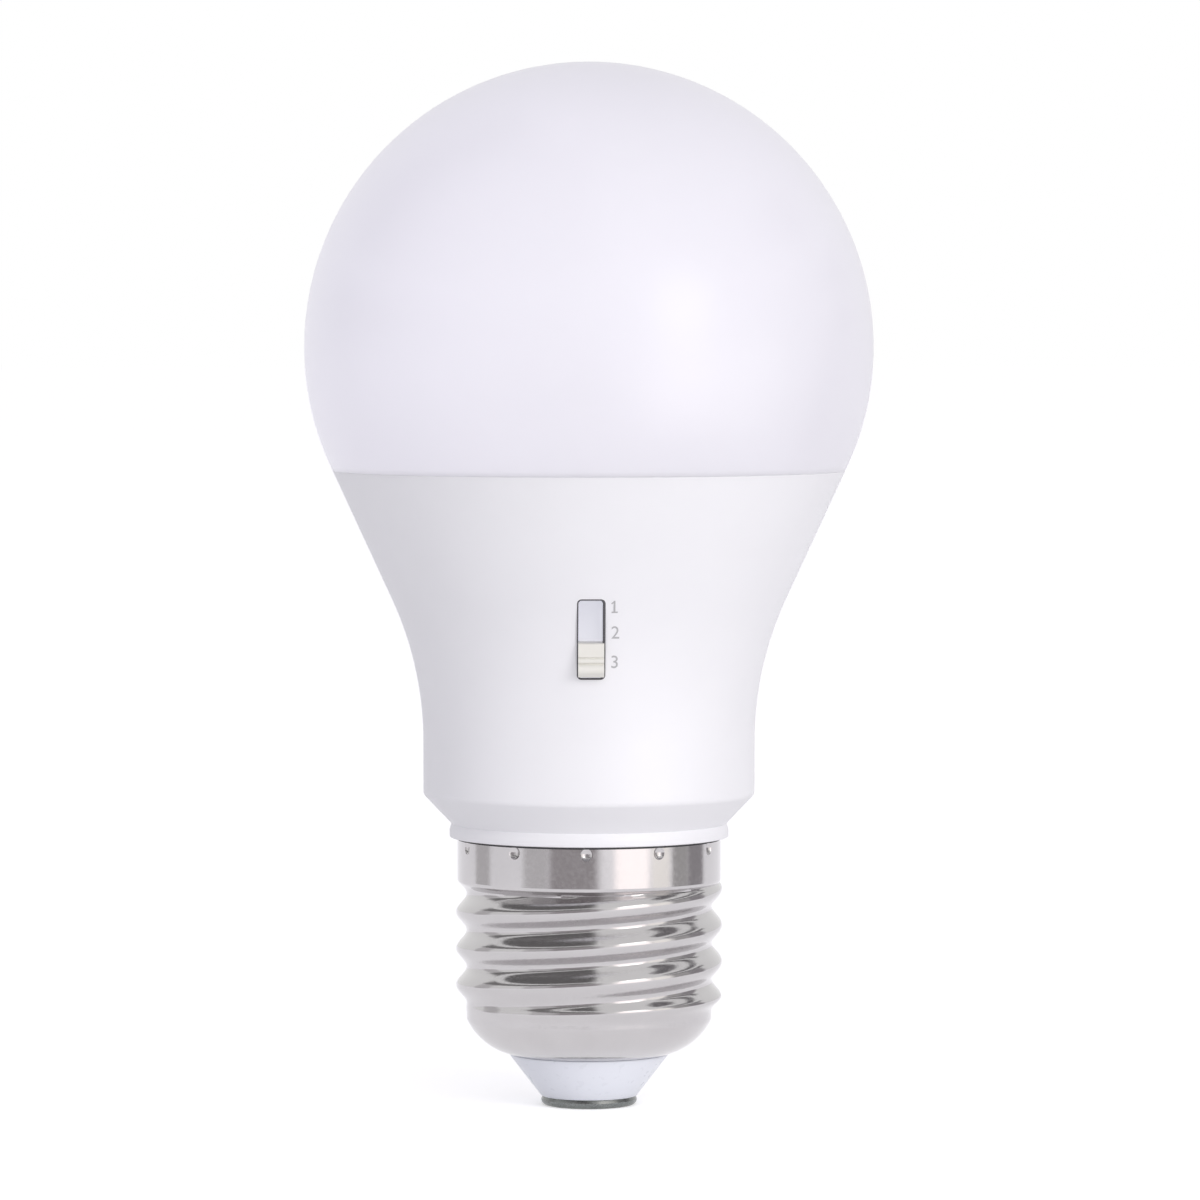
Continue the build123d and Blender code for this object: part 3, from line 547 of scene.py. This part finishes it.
def flange_underside(radius):
    """Height of the flange's underside, which follows the inside of the shell's cone."""
    cone_slope = (cone_top - shell_foot) / cone_reach
    lift = (sheet + seat) * math.sqrt(1 + cone_slope**2)
    return shell_foot + (radius - thread_root + cone_reach) * cone_slope + lift


def make_insulator():
    """The cone between the contact and the shell, and the flange inside the shell."""
    lip = thread_root - cone_reach - insulator_lip
    lip_top = shell_foot - seat
    neck = thread_root - cone_reach - sheet - insulator_gap
    flange_foot = flange_underside(flange_radius)
    outline = Outline("insulator_cone", shank_radius + seat, contact_height)
    outline.line((contact_radius - insulator_edge, contact_height))
    outline.arc((contact_radius - insulator_edge, contact_height + insulator_rounding), 50, 6)
    outline.line(
        (lip, lip_top - insulator_lip_height),
        (lip + insulator_lip_step, lip_top),
        (neck, lip_top),
        (neck, flange_underside(neck)),
        (flange_radius, flange_foot),
        (flange_radius, flange_foot + flange_thickness),
        (hub_radius, flange_foot + flange_thickness),
        (hub_radius, insulator_top),
        (shank_radius + seat, insulator_top),
        (shank_radius + seat, contact_height),
    )
    return outline.turned(round_steps)


def make_contact():
    """A pressed disc with a rolled rim on a hollow shank."""
    outline = Outline("contact_disc", 0, 0)
    outline.line((contact_radius - contact_rounding, 0))
    outline.arc((contact_radius - contact_rounding, contact_rounding), 100, 12)
    outline.line(
        (contact_radius - contact_edge, contact_height),
        (shank_radius, contact_height),
        (shank_radius, shank_top),
        (shank_bore, shank_top),
        (shank_bore, bore_floor),
        (0, bore_floor),
    )
    return outline.turned(round_steps)


def bulge(knob_face, foot, height, crown):
    """Centre, turn in degrees and chord of an arc that stands out by crown between two heights."""
    radius = ((height / 2) ** 2 + crown**2) / (2 * crown)
    return (knob_face + crown - radius, foot + height / 2), 2 * math.degrees(math.asin(height / 2 / radius))


def make_knob():
    """An upright face over a rib and a crowned ridge, drawn as seen from its side."""
    knob_face = knob_reach - ridge_crown
    groove_floor = knob_face - groove_depth
    flank = groove * groove_flank
    ridge_foot = knob_foot + foot_round
    rib_foot = ridge_foot + ridge_height + groove
    face_foot = rib_foot + rib_height + groove
    outline = Outline("slide_knob", knob_back, knob_foot, forwards)
    outline.line((knob_face - foot_round, knob_foot), (knob_face, ridge_foot))
    outline.arc(*bulge(knob_face, ridge_foot, ridge_height, ridge_crown), 12)
    outline.line((groove_floor, ridge_foot + ridge_height + flank))
    outline.line((groove_floor, rib_foot - flank), (knob_face, rib_foot))
    outline.arc(*bulge(knob_face, rib_foot, rib_height, rib_crown), 8)
    outline.line((groove_floor, rib_foot + rib_height + flank))
    outline.line((groove_floor, face_foot - flank), (knob_face, face_foot))
    outline.line((knob_face, knob_crest - crest_round))
    outline.arc((knob_face - crest_round, knob_crest - crest_round), 90, 6)
    outline.line((knob_back, knob_crest), (knob_back, knob_foot))
    knob = outline.extruded(slot_width - knob_play)
    make_active(knob)
    soften = knob.modifiers.new("soften", "BEVEL")
    soften.width = knob_softening * mm
    soften.segments = 3
    soften.limit_method = "ANGLE"
    soften.angle_limit = math.radians(60)
    bpy.ops.object.modifier_apply(modifier=soften.name)
    bpy.ops.object.shade_smooth_by_angle(angle=math.radians(40))
    return knob


def stroke(start, end):
    """A straight stroke of a printed number between two places of the text's plane, in millimetres."""
    run, rise = end[0] - start[0], end[1] - start[1]
    deselect()
    bpy.ops.mesh.primitive_cube_add(
        size=1,
        scale=(math.hypot(run, rise) * mm, stroke_width * mm, number_ink * mm),
        location=((start[0] + end[0]) / 2 * mm, (start[1] + end[1]) / 2 * mm, 0),
        rotation=(0, 0, math.atan2(rise, run)),
    )
    bpy.ops.object.transform_apply(location=True, rotation=True, scale=True)
    return bpy.context.active_object


def print_numbers():
    """Position numbers printed on the housing, right of the slot."""
    digits = []
    for index, height in enumerate(number_heights):
        deselect()
        bpy.ops.object.text_add()
        digit = bpy.context.active_object
        digit.data.body = str(index + 1)
        digit.data.size = number_size * mm
        digit.data.extrude = number_ink * mm / 2
        digit.data.resolution_u = 8
        bpy.ops.object.convert(target="MESH")
        digit = bpy.context.active_object
        left = min(vertex.co.x for vertex in digit.data.vertices) / mm
        top = max(vertex.co.y for vertex in digit.data.vertices) / mm
        foot = min(vertex.co.y for vertex in digit.data.vertices) / mm
        if index == 0:
            stem = max(vertex.co.x for vertex in digit.data.vertices) / mm - stroke_width / 2
            left = stem - flag_reach
            base_rise = foot + stroke_width / 2
            flag = stroke((stem, top - flag_lift), (left, top - flag_reach))
            base = stroke((left, base_rise), (stem + flag_reach, base_rise))
            for part in (flag, base, digit):
                part.select_set(True)
            bpy.context.view_layer.objects.active = digit
            bpy.ops.object.join()
        for vertex in digit.data.vertices:
            across = vertex.co.x / mm - left + number_start
            rise = vertex.co.y / mm + height - (top + foot) / 2
            depth = math.sqrt(flare_radius(rise) ** 2 - across**2)
            lift = vertex.co.z / mm + number_ink / 2
            vertex.co = Vector((across, -depth - lift, rise)) * mm
        digits.append(digit)
    deselect()
    for digit in digits:
        digit.select_set(True)
    bpy.context.view_layer.objects.active = digits[0]
    bpy.ops.object.join()
    numbers = bpy.context.active_object
    numbers.name = numbers.data.name = "switch_numbers"
    bpy.ops.object.mode_set(mode="EDIT")
    bpy.ops.mesh.select_all(action="SELECT")
    bpy.ops.mesh.remove_doubles(threshold=mm * 0.0005)
    bpy.ops.mesh.normals_make_consistent(inside=False)
    bpy.ops.object.mode_set(mode="OBJECT")
    return numbers


globe = make_globe()
housing = make_housing()
joint_shade_ring = make_joint_shade_ring()
cut_slot(housing)
slot_shade_rim = make_slot_shade_rim()
shell = make_shell()
punch_dents(shell)
insulator = make_insulator()
contact = make_contact()
knob = make_knob()
numbers = print_numbers()


def finish(name, light, dark, cloud, gloss, grain, relief, stretch=(1, 1, 1), **constants):
    """A finish whose colour drifts between two near shades, with uneven gloss and a fine grain.

    cloud and grain are the sizes in millimetres of the colour patches and of the grain, gloss is the
    lowest and highest roughness, and relief the grain's depth in millimetres."""
    material = bpy.data.materials.new(name)
    material.use_nodes = True
    nodes, links = material.node_tree.nodes, material.node_tree.links
    shader = nodes["Principled BSDF"]
    place = nodes.new("ShaderNodeTexCoord")
    aim = nodes.new("ShaderNodeMapping")
    aim.inputs["Scale"].default_value = stretch
    links.new(place.outputs["Object"], aim.inputs["Vector"])
    patches = nodes.new("ShaderNodeTexNoise")
    patches.inputs["Scale"].default_value = 1 / (cloud * mm)
    patches.inputs["Detail"].default_value = 3
    links.new(aim.outputs["Vector"], patches.inputs["Vector"])
    tint = nodes.new("ShaderNodeMix")
    tint.data_type = "RGBA"
    tint.inputs[6].default_value = (*light, 1)
    tint.inputs[7].default_value = (*dark, 1)
    links.new(patches.outputs["Fac"], tint.inputs[0])
    links.new(tint.outputs[2], shader.inputs["Base Color"])
    grains = nodes.new("ShaderNodeTexNoise")
    grains.inputs["Scale"].default_value = 1 / (grain * mm)
    grains.inputs["Detail"].default_value = 4
    links.new(aim.outputs["Vector"], grains.inputs["Vector"])
    sheen = nodes.new("ShaderNodeMapRange")
    sheen.inputs["From Min"].default_value = 0.3
    sheen.inputs["From Max"].default_value = 0.7
    sheen.inputs["To Min"].default_value = gloss[0]
    sheen.inputs["To Max"].default_value = gloss[1]
    links.new(grains.outputs["Fac"], sheen.inputs["Value"])
    links.new(sheen.outputs["Result"], shader.inputs["Roughness"])
    bump = nodes.new("ShaderNodeBump")
    bump.inputs["Distance"].default_value = relief * mm
    bump.inputs["Strength"].default_value = 1.0
    links.new(grains.outputs["Fac"], bump.inputs["Height"])
    links.new(bump.outputs["Normal"], shader.inputs["Normal"])
    for socket, value in constants.items():
        shader.inputs[socket.replace("_", " ")].default_value = value
    return material


milky = finish(
    "milky_globe", (0.81, 0.80, 0.85), (0.79, 0.785, 0.83), 14, (0.30, 0.33), 2.5, 0.0005,
    Subsurface_Weight=0.35, Subsurface_Radius=(1.0, 1.0, 1.0), Subsurface_Scale=0.0012,
    Specular_IOR_Level=0.38,
)
satin_white = finish(
    "satin_white_housing", (0.88, 0.88, 0.90), (0.84, 0.84, 0.86), 9, (0.42, 0.52), 0.35, 0.0015,
    Subsurface_Weight=0.1, Subsurface_Radius=(1.0, 1.0, 1.0), Subsurface_Scale=0.001,
)
nickel = finish(
    "rolled_nickel_cap", (0.555, 0.542, 0.545), (0.505, 0.49, 0.495), 3.5, (0.09, 0.18), 0.4, 0.0025,
    Metallic=1.0,
)
insulator_glass = finish(
    "insulator_pale", (0.86, 0.885, 0.945), (0.85, 0.875, 0.935), 5, (0.26, 0.34), 0.8, 0.0005,
)
tinned = finish(
    "tinned_contact", (0.25, 0.26, 0.255), (0.15, 0.16, 0.158), 1.2, (0.18, 0.34), 0.5, 0.006,
    Metallic=1.0,
)
cream = finish(
    "cream_knob", (0.80, 0.79, 0.74), (0.75, 0.74, 0.68), 1.5, (0.28, 0.40), 0.25, 0.0015,
)
# Painted light: the shutter glows so that it looks pale and lit where it lies in shade deep behind the slot
shutter_painted_glow = finish(
    "shutter_painted_glow", (0.90, 0.90, 0.94), (0.86, 0.86, 0.91), 2.5, (0.4, 0.5), 0.3, 0.0015,
    Emission_Color=(0.86, 0.87, 0.95, 1), Emission_Strength=0.38,
)
# Painted shade: dark grey for the rim that lines the slot's edge
shade_rim_grey = finish("slot_shade_rim_grey", (0.09, 0.085, 0.095), (0.06, 0.06, 0.065), 0.8, (0.3, 0.5), 0.2, 0.001)
# Painted shade: near black for the ring in the gap at the cap joint
joint_shade_grey = finish("joint_painted_shade", (0.07, 0.065, 0.07), (0.05, 0.048, 0.05), 0.8, (0.5, 0.7), 0.2, 0.001)
ink = finish("grey_ink", (0.40, 0.40, 0.41), (0.50, 0.50, 0.51), 0.3, (0.5, 0.7), 0.1, 0.001)
aluminium = finish(
    "pressed_aluminium", (0.82, 0.83, 0.84), (0.70, 0.71, 0.72), 4, (0.25, 0.4), 0.4, 0.002, Metallic=1.0
)
board_white = finish("light_board_mask", (0.84, 0.84, 0.82), (0.78, 0.78, 0.76), 3, (0.3, 0.42), 0.2, 0.001)
laminate = finish("driver_laminate", (0.07, 0.22, 0.09), (0.05, 0.17, 0.07), 2, (0.3, 0.45), 0.25, 0.001)
pink = finish("pink_chip", (0.85, 0.35, 0.50), (0.80, 0.28, 0.42), 1, (0.2, 0.3), 0.2, 0.001)
orange = finish("orange_chip", (0.90, 0.45, 0.12), (0.84, 0.38, 0.08), 1, (0.2, 0.3), 0.2, 0.001)
purple = finish("purple_chip", (0.45, 0.25, 0.75), (0.38, 0.20, 0.68), 1, (0.2, 0.3), 0.2, 0.001)
steel = finish(
    "zinc_steel", (0.62, 0.63, 0.65), (0.52, 0.53, 0.55), 1.5, (0.22, 0.36), 0.2, 0.001, Metallic=1.0
)
brass = finish("brass", (0.80, 0.62, 0.30), (0.70, 0.52, 0.24), 1.5, (0.2, 0.34), 0.2, 0.001, Metallic=1.0)
black_plastic = finish("black_plastic", (0.03, 0.03, 0.03), (0.05, 0.05, 0.05), 1.5, (0.35, 0.5), 0.2, 0.001)
white_plastic = finish("white_plastic", (0.80, 0.80, 0.78), (0.74, 0.74, 0.72), 1.5, (0.35, 0.5), 0.2, 0.001)
sleeve = finish("can_sleeve", (0.05, 0.06, 0.10), (0.08, 0.09, 0.13), 2, (0.25, 0.35), 0.3, 0.001)
film_yellow = finish("film_box", (0.75, 0.60, 0.15), (0.68, 0.54, 0.12), 2, (0.3, 0.42), 0.3, 0.001)
ferrite = finish(
    "wound_coil", (0.35, 0.16, 0.07), (0.26, 0.11, 0.05), 0.4, (0.25, 0.4), 0.15, 0.01, (1, 0.1, 1)
)
red_cover = finish("red_wire_cover", (0.55, 0.04, 0.03), (0.46, 0.03, 0.03), 2, (0.3, 0.4), 0.2, 0.001)
blue_cover = finish("blue_wire_cover", (0.04, 0.10, 0.42), (0.03, 0.08, 0.35), 2, (0.3, 0.4), 0.2, 0.001)

# New pieces: material, the node that each stands for, its body and its slot in the record
new_pieces = [
    (globe, milky, "diffuser", "bulb", "diffuser_plastic"),
    (housing, satin_white, "housing", "bulb", "housing_plastic"),
    (shell, nickel, "screw_shell", "bulb", "cap_metal"),
    (insulator, insulator_glass, "cap_insulator", "bulb", "insulator_plastic"),
    (contact, tinned, "centre_contact", "bulb", "contact_metal"),
    (knob, cream, "switch_knob", "slider", "knob_plastic"),
    (numbers, ink, None, "bulb", "housing_plastic"),
    (slot_shade_rim, shade_rim_grey, None, "bulb", "housing_plastic"),
    (joint_shade_ring, joint_shade_grey, None, "bulb", "housing_plastic"),
]
for piece, material, node, body, slot_name in new_pieces:
    piece.data.materials.clear()
    piece.data.materials.append(material)
    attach(piece, body)
    if node:
        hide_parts(node)

# CAD nodes that stay, each with its finish
kept_nodes = {
    "dust_shutter": shutter_painted_glow,
    "heat_sink": aluminium,
    "led_board": board_white,
    "leds_pink": pink,
    "leds_orange": orange,
    "leds_purple": purple,
    "led_board_screws": steel,
    "board_socket": white_plastic,
    "header_block": black_plastic,
    "header_pins": brass,
    "driver_board": laminate,
    "bulk_capacitor": sleeve,
    "output_capacitor": sleeve,
    "film_capacitor": film_yellow,
    "inductor": ferrite,
    "bridge_rectifier": black_plastic,
    "driver_chip": black_plastic,
    "fuse_resistor": white_plastic,
    "chip_resistors": black_plastic,
    "switch_frame": steel,
    "switch_base": black_plastic,
    "switch_terminals": brass,
    "switch_actuator": white_plastic,
    "switch_contact": brass,
    "live_wire": red_cover,
    "neutral_wire": blue_cover,
}
for node, material in kept_nodes.items():
    for slot_of_node in frame["nodes"][node].material_slots:
        slot_of_node.material = material

# Camera, level with the globe and looking slightly down at the switch
camera_back = 0.655
camera_side = 0.00109
camera_turn = -0.75
camera_height = 0.081
aim_height = 0.0501
view_width = 0.1186
sensor = 36.0


def place_camera():
    """Stand the camera in front of the bulb and aim it at the lamp axis."""
    round_the_bulb = Matrix.Rotation(math.radians(camera_turn), 4, "Z")
    bpy.ops.object.camera_add(location=round_the_bulb @ Vector((camera_side, -camera_back, camera_height)))
    camera = bpy.context.active_object
    camera.data.sensor_width = sensor
    camera.data.lens = sensor * camera_back / view_width
    aim_at = round_the_bulb @ Vector((camera_side, 0, aim_height))
    camera.rotation_euler = (aim_at - camera.location).to_track_quat("-Z", "Y").to_euler()
    camera.data.clip_start = 0.01
    camera.data.clip_end = 50
    bpy.context.scene.camera = camera


def seen_or_reflected(tree):
    """1 where the camera, a reflection or glass looks, and 0 where a surface is lit."""
    nodes, links = tree.nodes, tree.links
    path = nodes.new("ShaderNodeLightPath")
    either = nodes.new("ShaderNodeMath")
    either.operation = "MAXIMUM"
    links.new(path.outputs["Is Camera Ray"], either.inputs[0])
    links.new(path.outputs["Is Glossy Ray"], either.inputs[1])
    seen = nodes.new("ShaderNodeMath")
    seen.operation = "MAXIMUM"
    links.new(either.outputs["Value"], seen.inputs[0])
    links.new(path.outputs["Is Transmission Ray"], seen.inputs[1])
    return seen


def light_world():
    """Plain light all round, with a white background."""
    world = bpy.data.worlds.new("studio")
    bpy.context.scene.world = world
    world.use_nodes = True
    nodes, links = world.node_tree.nodes, world.node_tree.links
    ambient = nodes["Background"]
    ambient.inputs["Color"].default_value = ambient_tint
    ambient.inputs["Strength"].default_value = ambient_strength
    white = nodes.new("ShaderNodeBackground")
    white.inputs["Color"].default_value = (1, 1, 1, 1)
    white.inputs["Strength"].default_value = 1.0
    seen = seen_or_reflected(world.node_tree)
    mix = nodes.new("ShaderNodeMixShader")
    links.new(seen.outputs["Value"], mix.inputs["Fac"])
    links.new(ambient.outputs["Background"], mix.inputs[1])
    links.new(white.outputs["Background"], mix.inputs[2])
    links.new(mix.outputs["Shader"], nodes["World Output"].inputs["Surface"])


def lay_floor():
    """A pale floor that keeps the bulb's shadow."""
    deselect()
    bpy.ops.mesh.primitive_plane_add(size=12)
    floor = bpy.context.active_object
    floor.name = "floor"
    floor_paint = bpy.data.materials.new("floor_paint")
    floor_paint.use_nodes = True
    nodes, links = floor_paint.node_tree.nodes, floor_paint.node_tree.links
    paint = nodes["Principled BSDF"]
    paint.inputs["Base Color"].default_value = (floor_shade, floor_shade, floor_shade, 1)
    paint.inputs["Roughness"].default_value = 0.8
    paint.inputs["Specular IOR Level"].default_value = 0.0
    glow = nodes.new("ShaderNodeEmission")
    glow.inputs["Color"].default_value = (1, 1, 1, 1)
    glow.inputs["Strength"].default_value = floor_glow
    none = nodes.new("ShaderNodeEmission")
    none.inputs["Strength"].default_value = 0.0
    seen = seen_or_reflected(floor_paint.node_tree)
    choose = nodes.new("ShaderNodeMixShader")
    links.new(seen.outputs["Value"], choose.inputs["Fac"])
    links.new(none.outputs["Emission"], choose.inputs[1])
    links.new(glow.outputs["Emission"], choose.inputs[2])
    both = nodes.new("ShaderNodeAddShader")
    links.new(paint.outputs["BSDF"], both.inputs[0])
    links.new(choose.outputs["Shader"], both.inputs[1])
    links.new(both.outputs["Shader"], nodes["Material Output"].inputs["Surface"])
    floor.data.materials.append(floor_paint)


# Studio: plain light all round, and a pale floor that keeps the bulb's shadow
ambient_tint = (0.95, 0.935, 1.0, 1)
ambient_strength = 0.67
floor_shade = 0.86
floor_glow = 0.46
place_camera()
light_world()
lay_floor()


def toward(azimuth, elevation, distance, target=Vector((0, 0, 0.05))):
    """A place seen from the bulb at an azimuth right of the camera and an elevation, in degrees."""
    a, e = math.radians(azimuth), math.radians(elevation)
    return target + Vector((math.sin(a) * math.cos(e), -math.cos(a) * math.cos(e), math.sin(e))) * distance


def soft_box(name, azimuth, elevation, distance, width, height, power, colour):
    place = toward(azimuth, elevation, distance)
    bpy.ops.object.light_add(type="AREA", location=place)
    lamp = bpy.context.active_object
    lamp.name = name
    lamp.data.shape = "RECTANGLE"
    lamp.data.size = width
    lamp.data.size_y = height
    lamp.data.energy = power
    lamp.data.color = colour
    aim = Vector((0, 0, 0.05)) - place
    lamp.rotation_euler = aim.to_track_quat("-Z", "Y").to_euler()
    return lamp


soft_box("key_light", 38, 17, 0.9, 0.35, 0.35, 1.5, (1.0, 0.97, 0.94))
front_light = soft_box("front_light", 16, 15, 1.0, 1.1, 0.8, 3.8, (1.0, 0.985, 0.98))
front_light.visible_glossy = False
globe_fill = soft_box("globe_fill", -80, 8, 0.9, 0.7, 0.28, 2.2, (0.97, 0.95, 1.0))
globe_fill.visible_glossy = False
globe_only = bpy.data.collections.new("lit_by_globe_fill")
globe_only.objects.link(globe)
globe_fill.light_linking.receiver_collection = globe_only


# Dome that carries the reflected cards, in millimetres and degrees
dome_centre = 16
dome_radius = 150
floor_edge = -5.8
horizon_top = 24


def reflected_card(name, left, right, low, high, brightness, tint, fade, card_radius):
    """A patch of a dome round the cap that only reflections show, between azimuths and elevations.

    It fades out over some degrees at its left and right."""
    azimuth, elevation = math.radians(right), math.radians(low)
    direction = Vector((math.sin(azimuth), -math.cos(azimuth), 0))
    across = card_radius * math.cos(elevation)
    height = dome_centre + card_radius * math.sin(elevation)
    outline = Outline(name, across, height, direction)
    outline.arc((0, dome_centre), high - low, 12)
    bpy.ops.mesh.select_all(action="SELECT")
    bpy.ops.mesh.spin(steps=24, angle=math.radians(right - left), center=(0, 0, 0), axis=up)
    bpy.ops.object.mode_set(mode="OBJECT")
    card = outline.piece
    paint = bpy.data.materials.new(name + "_paint")
    paint.use_nodes = True
    nodes, links = paint.node_tree.nodes, paint.node_tree.links
    shine = nodes.new("ShaderNodeEmission")
    shine.inputs["Color"].default_value = (*tint, 1)
    shine.inputs["Strength"].default_value = brightness
    place = nodes.new("ShaderNodeTexCoord")
    axes = nodes.new("ShaderNodeSeparateXYZ")
    links.new(place.outputs["Object"], axes.inputs["Vector"])
    behind = nodes.new("ShaderNodeMath")
    behind.operation = "MULTIPLY"
    behind.inputs[1].default_value = -1
    links.new(axes.outputs["Y"], behind.inputs[0])
    bearing = nodes.new("ShaderNodeMath")
    bearing.operation = "ARCTAN2"
    links.new(axes.outputs["X"], bearing.inputs[0])
    links.new(behind.outputs["Value"], bearing.inputs[1])
    middle = nodes.new("ShaderNodeMath")
    middle.operation = "SUBTRACT"
    middle.inputs[1].default_value = math.radians((left + right) / 2)
    links.new(bearing.outputs["Value"], middle.inputs[0])
    away = nodes.new("ShaderNodeMath")
    away.operation = "ABSOLUTE"
    links.new(middle.outputs["Value"], away.inputs[0])
    cover = nodes.new("ShaderNodeMapRange")
    cover.interpolation_type = "SMOOTHSTEP"
    cover.inputs["From Min"].default_value = math.radians((right - left) / 2 - fade)
    cover.inputs["From Max"].default_value = math.radians((right - left) / 2)
    cover.inputs["To Min"].default_value = 1
    cover.inputs["To Max"].default_value = 0
    links.new(away.outputs["Value"], cover.inputs["Value"])
    clear = nodes.new("ShaderNodeBsdfTransparent")
    blend = nodes.new("ShaderNodeMixShader")
    links.new(cover.outputs["Result"], blend.inputs["Fac"])
    links.new(clear.outputs["BSDF"], blend.inputs[1])
    links.new(shine.outputs["Emission"], blend.inputs[2])
    links.new(blend.outputs["Shader"], nodes["Material Output"].inputs["Surface"])
    card.data.materials.append(paint)
    card.visible_camera = False
    card.visible_diffuse = False
    card.visible_shadow = False
    card.visible_transmission = False


# Name, left and right azimuth, low and high elevation, brightness, tint and fade of each card
cards = [
    ("front_card", -40, 12, floor_edge, horizon_top, 0.44, (1.0, 0.94, 0.97), 10),
    ("front_card_left", -60, -34, floor_edge, horizon_top, 0.72, (1.0, 0.98, 1.0), 5),
    ("bright_card", 18, 54, floor_edge, horizon_top, 1.95, (1.0, 0.94, 0.93), 6),
    ("bright_card_edge", 52, 73, floor_edge, horizon_top, 1.4, (1.0, 0.97, 0.93), 4),
    ("right_card_edge", 72, 94, floor_edge, horizon_top, 0.52, (1.0, 0.98, 0.98), 4),
    ("right_card", 90, 116, floor_edge, horizon_top, 0.38, (1.0, 0.95, 1.0), 4),
    ("left_card", -116, -92, floor_edge, horizon_top, 0.68, (1.0, 0.98, 1.0), 4),
    ("upper_left_card", -122, 6, 24.5, 36, 0.26, (1.0, 0.97, 0.98), 10),
    ("high_left_card", -122, 6, 42, 80, 0.19, (1.0, 0.97, 0.98), 10),
    ("upper_right_card", 68, 126, 24.5, 29, 0.22, (1.0, 0.95, 1.0), 6),
    ("high_right_card", 68, 126, 33, 38, 0.20, (1.0, 0.95, 1.0), 6),
    ("top_right_card", 68, 112, 46, 56, 0.22, (1.0, 0.95, 1.0), 6),
]
for index, card_values in enumerate(cards):
    reflected_card(*card_values, card_radius=dome_radius + index)

scene = bpy.context.scene
scene.view_settings.view_transform = "Standard"
